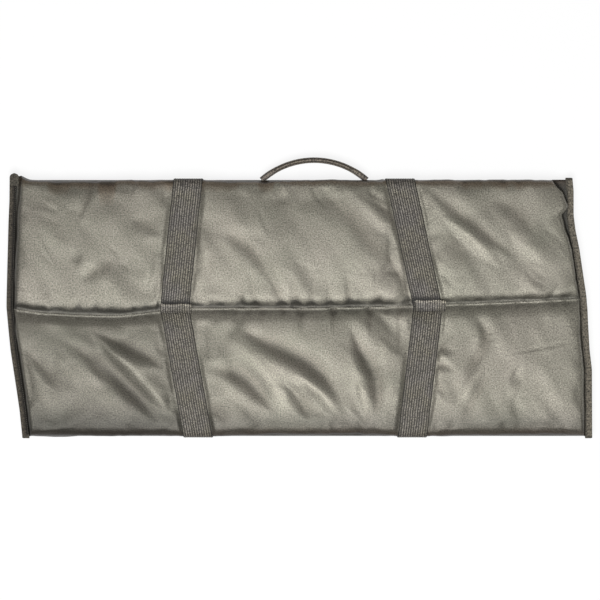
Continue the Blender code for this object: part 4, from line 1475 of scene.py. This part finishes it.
def flap_line(half):
    """Points and inward directions round a flap, from one end of its fold to the other."""
    left, left_in = side_line(half, "left", TAPE_START, FLAP_DEPTH)
    right, right_in = side_line(half, "right", FLAP_DEPTH, TAPE_START)
    edge_in = np.array([0.0, half.side])
    corners = []
    for corner, side_in in ((left[-1], left_in[0]), (right[0], right_in[0])):
        mitre = (side_in + edge_in) / (1 + side_in @ edge_in)
        centre = corner + mitre * CORNER_RADIUS
        inner = corner + mitre * TAPE_WIDTH
        arc = []
        for share in np.linspace(0, 1, 5):
            turn = share * math.pi / 2
            place = centre - unit(side_in * math.cos(turn) + edge_in * math.sin(turn)) * CORNER_RADIUS
            arc.append((place, (inner - place) / TAPE_WIDTH))
        corners.append(arc)
    corners[1].reverse()
    edge_start, edge_end = corners[0][-1][0], corners[1][0][0]
    count = int(np.linalg.norm(edge_end - edge_start) / (4 * MM))
    edge = edge_start + np.linspace(0, 1, count)[1:-1, None] * (edge_end - edge_start)
    keep_left = np.linalg.norm(left - left[-1], axis=1) > TAPE_WIDTH
    keep_right = np.linalg.norm(right - right[0], axis=1) > TAPE_WIDTH
    (first, first_in), (second, second_in) = (zip(*arc) for arc in corners)
    places = [left[keep_left], first, edge, second, right[keep_right]]
    edge_ins = np.tile(edge_in, (len(edge), 1))
    inwards = [left_in[keep_left], first_in, edge_ins, second_in, right_in[keep_right]]
    return np.concatenate(places), np.concatenate(inwards)


def fold_turn(half, side, materials):
    """The tape's outer layer where it turns round the fold."""
    start = 3.0 * MM
    steps = [(start, 90), (TAPE_START, 90)] + [(0, angle) for angle in range(75, -90, -15)]
    steps += [(TAPE_START, -90), (start, -90)]
    end_x = half.end_x(side, 0)
    inward = 1 if side == "left" else -1
    inset = np.concatenate([np.linspace(0, TAPE_WIDTH, 9), np.linspace(TAPE_WIDTH, 0, 9)])
    radius = np.concatenate([np.full(9, TAPE_TOP + 0.12 * MM), np.full(9, TURN_FLOOR)])
    radius[0] -= 0.9 * MM
    radius[1] -= 0.1 * MM
    rings, uv = [], []
    for number, (depth, angle) in enumerate(steps):
        turn = math.radians(angle)
        x = end_x + inward * inset
        y = half.y(depth) + half.side * radius * math.cos(turn)
        z = PLANE_Z + radius * math.sin(turn)
        rings.append(np.stack([x, y, z], axis=1))
        uv.append(np.stack([inset, np.full(18, number * 1 * MM)], axis=1))
    shape = Shape()
    add_tube(shape, np.array(rings), np.array(uv))
    piece = shape.build(f"{half.name}_{side}_tape_turn", materials)
    blend_fold(piece)


def add_tape_tip(shape, half):
    """The loose rounded end of tape that stands out past the fold at the upper left corner."""
    outline = []
    for share in np.linspace(0, 1, 12):
        depth = 10 * MM - share * (TIP_REACH + 10 * MM)
        narrow = math.sqrt(max(0.0, 1 - max(0.0, (share - 0.62) / 0.38) ** 2.2))
        outline.append((depth, narrow))
    outline[-1] = (outline[-1][0], 0.12)
    rings, uv = [], []
    for depth, narrow in outline:
        middle = half.end_x("left", max(depth, 0)) + TIP_WIDTH / 2 + 0.2 * MM
        half_width = TIP_WIDTH / 2 * narrow
        across = np.concatenate([np.linspace(-1, 1, 9), np.linspace(1, -1, 9)])
        curl = 0.8 * MM * eased(-depth, -10, 20)
        top = np.concatenate([1.0 * MM * np.sqrt(1 - np.linspace(-1, 1, 9) ** 2 * 0.9), np.zeros(9)])
        z = PLANE_Z + TAPE_TOP + 0.25 * MM + curl + top
        rings.append(np.stack([middle + across * half_width, np.full(18, half.y(depth)), z], axis=1))
        uv.append(np.stack([across * half_width, np.full(18, depth)], axis=1))
    rings = np.array(rings)
    add_tube(shape, rings, np.array(uv))
    add_level_stitches(shape, rings[1:-2, 7], 0.2 * MM)


def bindings(materials):
    random = np.random.default_rng(SEED + 3)
    for half in HALVES.values():
        for side in ("left", "right"):
            shape = Shape()
            points, inward = side_line(half, side, TAPE_START, PANEL_DEPTH - BRIDGE)
            add_tape(shape, points, inward, 1, random, TAPE_LIGHT[side])
            if (half.name, side) == ("upper", "left"):
                add_tape_tip(shape, half)
            piece = shape.build(f"{half.name}_{side}_tape", materials)
            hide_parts(f"{half.name}_{side}_binding")
            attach(piece, f"front_{half.name}")
            fold_turn(half, side, materials)
        shape = Shape()
        points, inward = flap_line(half)
        add_tape(shape, points, inward, -1, random)
        piece = shape.build(f"{half.name}_flap_tape", materials)
        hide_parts(*(f"{half.name}_flap_{place}_binding" for place in ("left", "right", "edge")))
        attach(piece, f"{half.name}_flap")
    for side in ("left", "right"):
        shape = Shape()
        upper, upper_in = side_line(HALVES["upper"], side, PANEL_DEPTH - BRIDGE, PANEL_DEPTH, 1.5 * MM)
        lower, lower_in = side_line(HALVES["lower"], side, PANEL_DEPTH, PANEL_DEPTH - BRIDGE, 1.5 * MM)
        points = np.concatenate([upper, lower[1:]])
        inward = np.concatenate([upper_in, lower_in[1:]])
        blunted = [points[number - 2:number + 3].mean(axis=0) for number in range(2, len(points) - 2)]
        points = np.concatenate([points[:2], blunted, points[-2:]])
        add_tape(shape, points, inward, 1, random, TAPE_LIGHT[side])
        piece = shape.build(f"{side}_seam_tape", materials)
        blend_seam(piece)


# Linings

LINING_COLUMNS = 236
LINING_WAVES = 70
# Columns near the rim, as insets from the mat's end in mm; the first three lie in the binding
LINING_INSETS = (2.5, 8, 12.2, 13.5)


def lining(half, flap, material):
    """One lining, held in the binding round its rim and slightly waved where it is free."""
    face = -1 if flap else 1
    last = FLAP_DEPTH - 2.5 * MM if flap else PANEL_DEPTH - 0.15 * MM
    depths = np.concatenate([[0.15, 1.2, 4], np.arange(8, (last - 14 * MM) / MM, 4)]) * MM
    tail = (13, 12, 6, 0) if flap else (9, 4, 1.2, 0)
    depths = np.concatenate([depths, [last - step * MM for step in tail]])
    insets = np.array(LINING_INSETS) * MM
    rows = []
    for depth in depths:
        left, right = (half.end_x(side, depth) for side in ("left", "right"))
        middle_part = np.linspace(left + 18 * MM, right - 18 * MM, LINING_COLUMNS)
        rows.append(np.concatenate([left + insets, middle_part, (right - insets)[::-1]]))
    x = np.array(rows)
    y = np.repeat(half.y(depths)[:, None], x.shape[1], axis=1)
    random = np.random.default_rng(SEED + 10 + (2 if flap else 0) + (1 if half.side > 0 else 0))
    waves = np.zeros(x.shape)
    sheet = SimpleNamespace(x=x, y=y)
    everywhere = np.ones(x.shape, bool)
    for _ in range(LINING_WAVES):
        place = np.array([random.uniform(x.min(), x.max()), random.uniform(y.min(), y.max())])
        angle = random.uniform(-1.4, 1.4)
        step = np.array([math.cos(angle), math.sin(angle)]) * random.uniform(15, 60) * MM
        points = bow(place, step, random.uniform(-0.3, 0.3))
        width, height = random.uniform(5, 12) * MM, random.uniform(0.3, 1.4) * MM
        add_crease(waves, sheet, everywhere, points, width, height)
    columns = np.arange(x.shape[1])
    rim = (columns < 3) | (columns >= x.shape[1] - 3)
    inside = smooth((np.minimum(columns, x.shape[1] - 1 - columns) - 3) / 6)[None, :]
    inside = inside * smooth(np.minimum(depths - depths[0], depths[-1] - depths)[:, None] / (16 * MM))
    height = 0.3 * MM + np.clip(waves + 0.25 * MM, 0, 2.6 * MM) * inside
    in_binding = INNER_FACE + TAPE_THICKNESS + 0.15 * MM
    height[:, rim] = in_binding
    if flap:
        height[-3:] = in_binding
    points = np.stack([x, y, PLANE_Z + face * height], axis=2)
    normal = normals_of(points)
    if normal[5, 50, 2] * face > 0:
        normal = -normal
    shape = Shape()
    uv = np.stack([x, y], axis=2)
    if np.cross(points[1, 0] - points[0, 0], points[1, 1] - points[0, 0])[2] * face > 0:
        points, uv, normal = points[:, ::-1], uv[:, ::-1], normal[:, ::-1]
    shape.add_grid(points, uv, normal)
    part = "flap" if flap else "front"
    piece = shape.build(f"{half.name}_{part}_lining_cloth", [material])
    node = f"{half.name}_flap_lining" if flap else f"{half.name}_lining"
    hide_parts(node)
    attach(piece, f"{half.name}_flap" if flap else f"front_{half.name}")
    width = float(np.mean(x[:, -1] - x[:, 0]))


def linings(material):
    for half in HALVES.values():
        for flap in (False, True):
            lining(half, flap, material)


# Handles

# How light and how brown the carry handle is, and where its webbing's edges meet
HANDLE_WEAR = (0.84, 0.35)
DENT_ANGLE = 0.9
# The carry handle's arc: half its span, its middle's x and how far it rises past the hinge
CARRY_HALF_SPAN = 90 * MM
CARRY_X = 26 * MM
CARRY_RISE = 10 * MM
CARRY_AROUND = 28
# A lift handle's arch: its reach past the hinge and the power that squares its corners
LIFT_REACH = 32 * MM
LIFT_POWER = 2 / 3
LIFT_AROUND = 36


def handle_rings(path, widths, thicknesses, flat_normal, around):
    """Rings along a path, each an oval of the given width and thickness with a dent where the
    webbing's edges meet."""
    tangent = unit(np.gradient(path, axis=0))
    side = unit(np.cross(tangent, flat_normal))
    up = np.cross(side, tangent)
    rings, uv = [], []
    run = run_along(path)
    for number in range(len(path)):
        ring, marks = [], []
        roundness = min(1.0, thicknesses[number] / widths[number])
        power = 1 - 0.55 * (1 - roundness)
        for step in range(around):
            angle = 2 * math.pi * step / around
            c, s = math.cos(angle), math.sin(angle)
            across = math.copysign(abs(c) ** power, c) * widths[number] / 2
            rise = math.copysign(abs(s) ** power, s) * thicknesses[number] / 2
            from_dent = (angle - DENT_ANGLE + math.pi) % (2 * math.pi) - math.pi
            mark = 1 - 0.10 * roundness * math.exp(-((from_dent / 0.16) ** 2))
            ring.append(path[number] + (side[number] * across + up[number] * rise) * mark)
            marks.append((angle / (2 * math.pi) * STRAP_WIDTH / 2, run[number]))
        rings.append(ring)
        uv.append(marks)
    return np.array(rings), np.array(uv)


def finish_handle(shape, piece_name, line, middle_line, materials):
    """Sews the grip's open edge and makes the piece."""
    outward = unit(line - middle_line)
    add_stitches(shape, line + outward * 0.1 * MM, outward, 1, GRIP_STITCH)
    piece = shape.build(piece_name, materials)
    return piece


def carry_handle(materials):
    """The carry handle: flat ends sewn into the fold, rolled between them."""
    pivot = PIVOTS["carry_handle_swing"]
    rise = pivot.y - HALVES["upper"].fold_y + CARRY_RISE
    radius = (CARRY_HALF_SPAN**2 + rise**2) / (2 * rise)
    centre = Vector((CARRY_X, HALVES["upper"].fold_y + rise - radius, PLANE_Z))
    root = math.acos((radius - rise - 0.2 * MM) / radius)
    path, widths, thicknesses = [], [], []
    for angle in np.linspace(-root, root, 90):
        y = centre.y + radius * math.cos(angle)
        path.append((centre.x + radius * math.sin(angle), y, PLANE_Z))
        rolled = float(eased(y - pivot.y, -14, 11))
        widths.append(2 * GRIP_RADIUS * (1 + 0.1 * (1 - rolled)))
        thicknesses.append(2.0 * MM + rolled * (2 * GRIP_RADIUS - 2.0 * MM))
    path = np.array(path)
    rings, uv = handle_rings(path, widths, thicknesses, (0, 0, 1), CARRY_AROUND)
    shape = Shape()
    add_tube(shape, rings, uv, wear=np.tile(HANDLE_WEAR, (*rings.shape[:2], 1)))
    beside_dent = int(round(DENT_ANGLE / (2 * math.pi) * CARRY_AROUND)) - 2
    piece = finish_handle(shape, "carry_handle_webbing", rings[6:-6, beside_dent], path[6:-6], materials)
    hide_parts("carry_handle_grip", "carry_handle_left_tab", "carry_handle_right_tab")
    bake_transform(piece)


def lift_handle(half, materials):
    """A lift handle: the ends of a flap's two straps, gathered and rolled into a grip."""
    pivot = PIVOTS[f"{half.name}_lift_handle_swing"]
    flat_depth = FLAP_DEPTH + STRAP_REACH - 6 * MM
    pivot_depth = abs(pivot.y - half.fold_y)
    height = PLANE_Z - pivot.z
    left, right = (half.strap_x(side, FLAP_DEPTH, -1) for side in ("left", "right"))
    middle_x, half_span = (left + right) / 2, (right - left) / 2
    curve = []
    for angle in np.linspace(0, math.pi, 120):
        across = -math.copysign(abs(math.cos(angle)) ** LIFT_POWER, math.cos(angle))
        depth = pivot_depth + LIFT_REACH * math.sin(angle) ** LIFT_POWER
        curve.append((middle_x + half_span * across, depth, height))
    lead = np.linspace(0, 1, 6)[:-1]
    flat_height = TAPE_TOP + 1.2 * MM + STRAP_THICKNESS
    depths = flat_depth + (pivot_depth - flat_depth) * lead
    heights = flat_height + (height - flat_height) * lead
    before = [(left, depth, up) for depth, up in zip(depths, heights)]
    after = [(right, depth, up) for _, depth, up in before[::-1]]
    points = np.array(before + curve + after)
    run = run_along(points)
    even = np.linspace(0, run[-1], 190)
    even = run[-1] * (0.5 - 0.5 * np.cos(np.pi * np.linspace(0, 1, 190))) * 0.35 + even * 0.65
    points = read_along(points, run, even)
    for _ in range(3):
        points[1:-1] = (points[:-2] + 2 * points[1:-1] + points[2:]) / 4
    from_end = np.minimum(even, run[-1] - even)
    gather = eased(from_end, 0, 20)
    widths = STRAP_WIDTH * (1 - gather) + 2 * GRIP_RADIUS * gather
    widths = np.where(from_end < 1 * MM, STRAP_WIDTH, np.maximum(2 * GRIP_RADIUS, widths))
    thicknesses = 1.9 * MM + (2 * GRIP_RADIUS - 1.9 * MM) * eased(from_end, 0, 24)
    path = np.stack([points[:, 0], half.y(points[:, 1]), PLANE_Z - points[:, 2]], axis=1)
    rings, uv = handle_rings(path, widths, thicknesses, (0, 0, -1), LIFT_AROUND)
    shape = Shape()
    add_tube(shape, rings, uv)
    name = f"{half.name}_lift_handle_webbing"
    piece = finish_handle(shape, name, rings[14:-14, 5], path[14:-14], materials)
    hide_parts(f"{half.name}_lift_handle")
    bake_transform(piece)


def seam_stitches(grid, points, materials):
    """The line of stitches along the centre seam's ridge."""
    normals = normals_of(points)
    shape = Shape()
    free = np.flatnonzero((grid.rise[SEAM_ROW] > 0.5) & (grid.strap_gap[SEAM_ROW] > 1 * MM))
    breaks = np.flatnonzero(np.diff(free) > 1)
    for run in np.split(free, breaks + 1):
        if len(run) > 3:
            line = points[SEAM_ROW, run] + normals[SEAM_ROW, run] * 0.4 * MM
            add_stitches(shape, line, normals[SEAM_ROW, run], 0, SEAM_STITCH)
    piece = shape.build("centre_seam_stitches", materials)
    blend_seam(piece)


# Light, floor and camera

WORLD_STRENGTH = 0.37
# The lamp's side in metres, its watts and its place
KEY_SIZE = 1.7
KEY_POWER = 158
KEY_PLACE = (-0.3, -1.25, 3.95)
FLOOR_SIZE = 8
FLOOR_COLOUR = (0.92, 0.92, 0.92, 1)
# How much of its own white the floor shows to the camera and in reflections
FLOOR_LIFT = 0.85
LENS = 200
SENSOR = 36
# The picture's width and middle in the plane at this height
FRAME_HEIGHT = 34 * MM
PICTURE_PIXELS = 600
PIXEL_MM = 1.715
FRAME_WIDTH = PICTURE_PIXELS * PIXEL_MM * MM
FRAME_CENTRE = (1.7 * MM, -5.7 * MM)


def floor_finish():
    """A matt pale floor, lifted towards white for the camera and in reflections."""
    made = Finish("floor", 0.9)
    made.shader.inputs["Base Color"].default_value = FLOOR_COLOUR
    rays = made.node("ShaderNodeLightPath").outputs
    lifted = made.math("MAXIMUM", rays["Is Camera Ray"], rays["Is Glossy Ray"])
    mix = made.node("ShaderNodeMixShader")
    made.join(made.math("MULTIPLY", lifted, FLOOR_LIFT), mix.inputs["Fac"])
    made.join(made.shader.outputs["BSDF"], mix.inputs[1])
    made.join(made.node("ShaderNodeEmission").outputs["Emission"], mix.inputs[2])
    made.join(mix.outputs["Shader"], made.tree.nodes["Material Output"].inputs["Surface"])
    return made.material


def studio():
    """Pale floor, one large soft lamp overhead, a dim even world and the camera."""
    scene = bpy.context.scene
    world = scene.world = bpy.data.worlds.new("studio")
    world.use_nodes = True
    tree = world.node_tree
    sky = tree.nodes["Background"]
    sky.inputs["Color"].default_value = (1, 1, 1, 1)
    strength = tree.nodes.new("ShaderNodeMath")
    strength.operation = "MAXIMUM"
    strength.inputs[1].default_value = WORLD_STRENGTH
    tree.links.new(tree.nodes.new("ShaderNodeLightPath").outputs["Is Camera Ray"], strength.inputs[0])
    tree.links.new(strength.outputs["Value"], sky.inputs["Strength"])
    lamp = bpy.data.lights.new("key", "AREA")
    lamp.size = KEY_SIZE
    lamp.energy = KEY_POWER
    key = add_object("key", lamp)
    key.location = KEY_PLACE
    key.rotation_mode = "QUATERNION"
    key.rotation_quaternion = (-key.location).to_track_quat("-Z", "Y")
    bpy.ops.mesh.primitive_plane_add(size=FLOOR_SIZE, location=(0, 0, 0))
    floor = bpy.context.object
    floor.name = "floor"
    floor.data.materials.append(floor_finish())
    view = bpy.data.cameras.new("camera")
    view.lens = LENS
    view.sensor_width = SENSOR
    camera = scene.camera = add_object("camera", view)
    distance = FRAME_WIDTH / 2 / (SENSOR / 2 / LENS)
    camera.location = (FRAME_CENTRE[0], FRAME_CENTRE[1], FRAME_HEIGHT + distance)
    scene.view_settings.view_transform = "Standard"


def main():
    cover_cloth, ribbed, binding, lined = nylon(), webbing(), tape(), lining_cloth()
    sewing, seam_sewing = (thread(name, *colours) for name, colours in THREADS.items())
    webbed = [ribbed, sewing]
    grid, points = covers([cover_cloth, sewing])
    seam_stitches(grid, points, [seam_sewing])
    straps(webbed)
    seam_bars(webbed)
    bindings([binding, sewing])
    linings(lined)
    carry_handle(webbed)
    for half in HALVES.values():
        lift_handle(half, webbed)
    studio()


main()
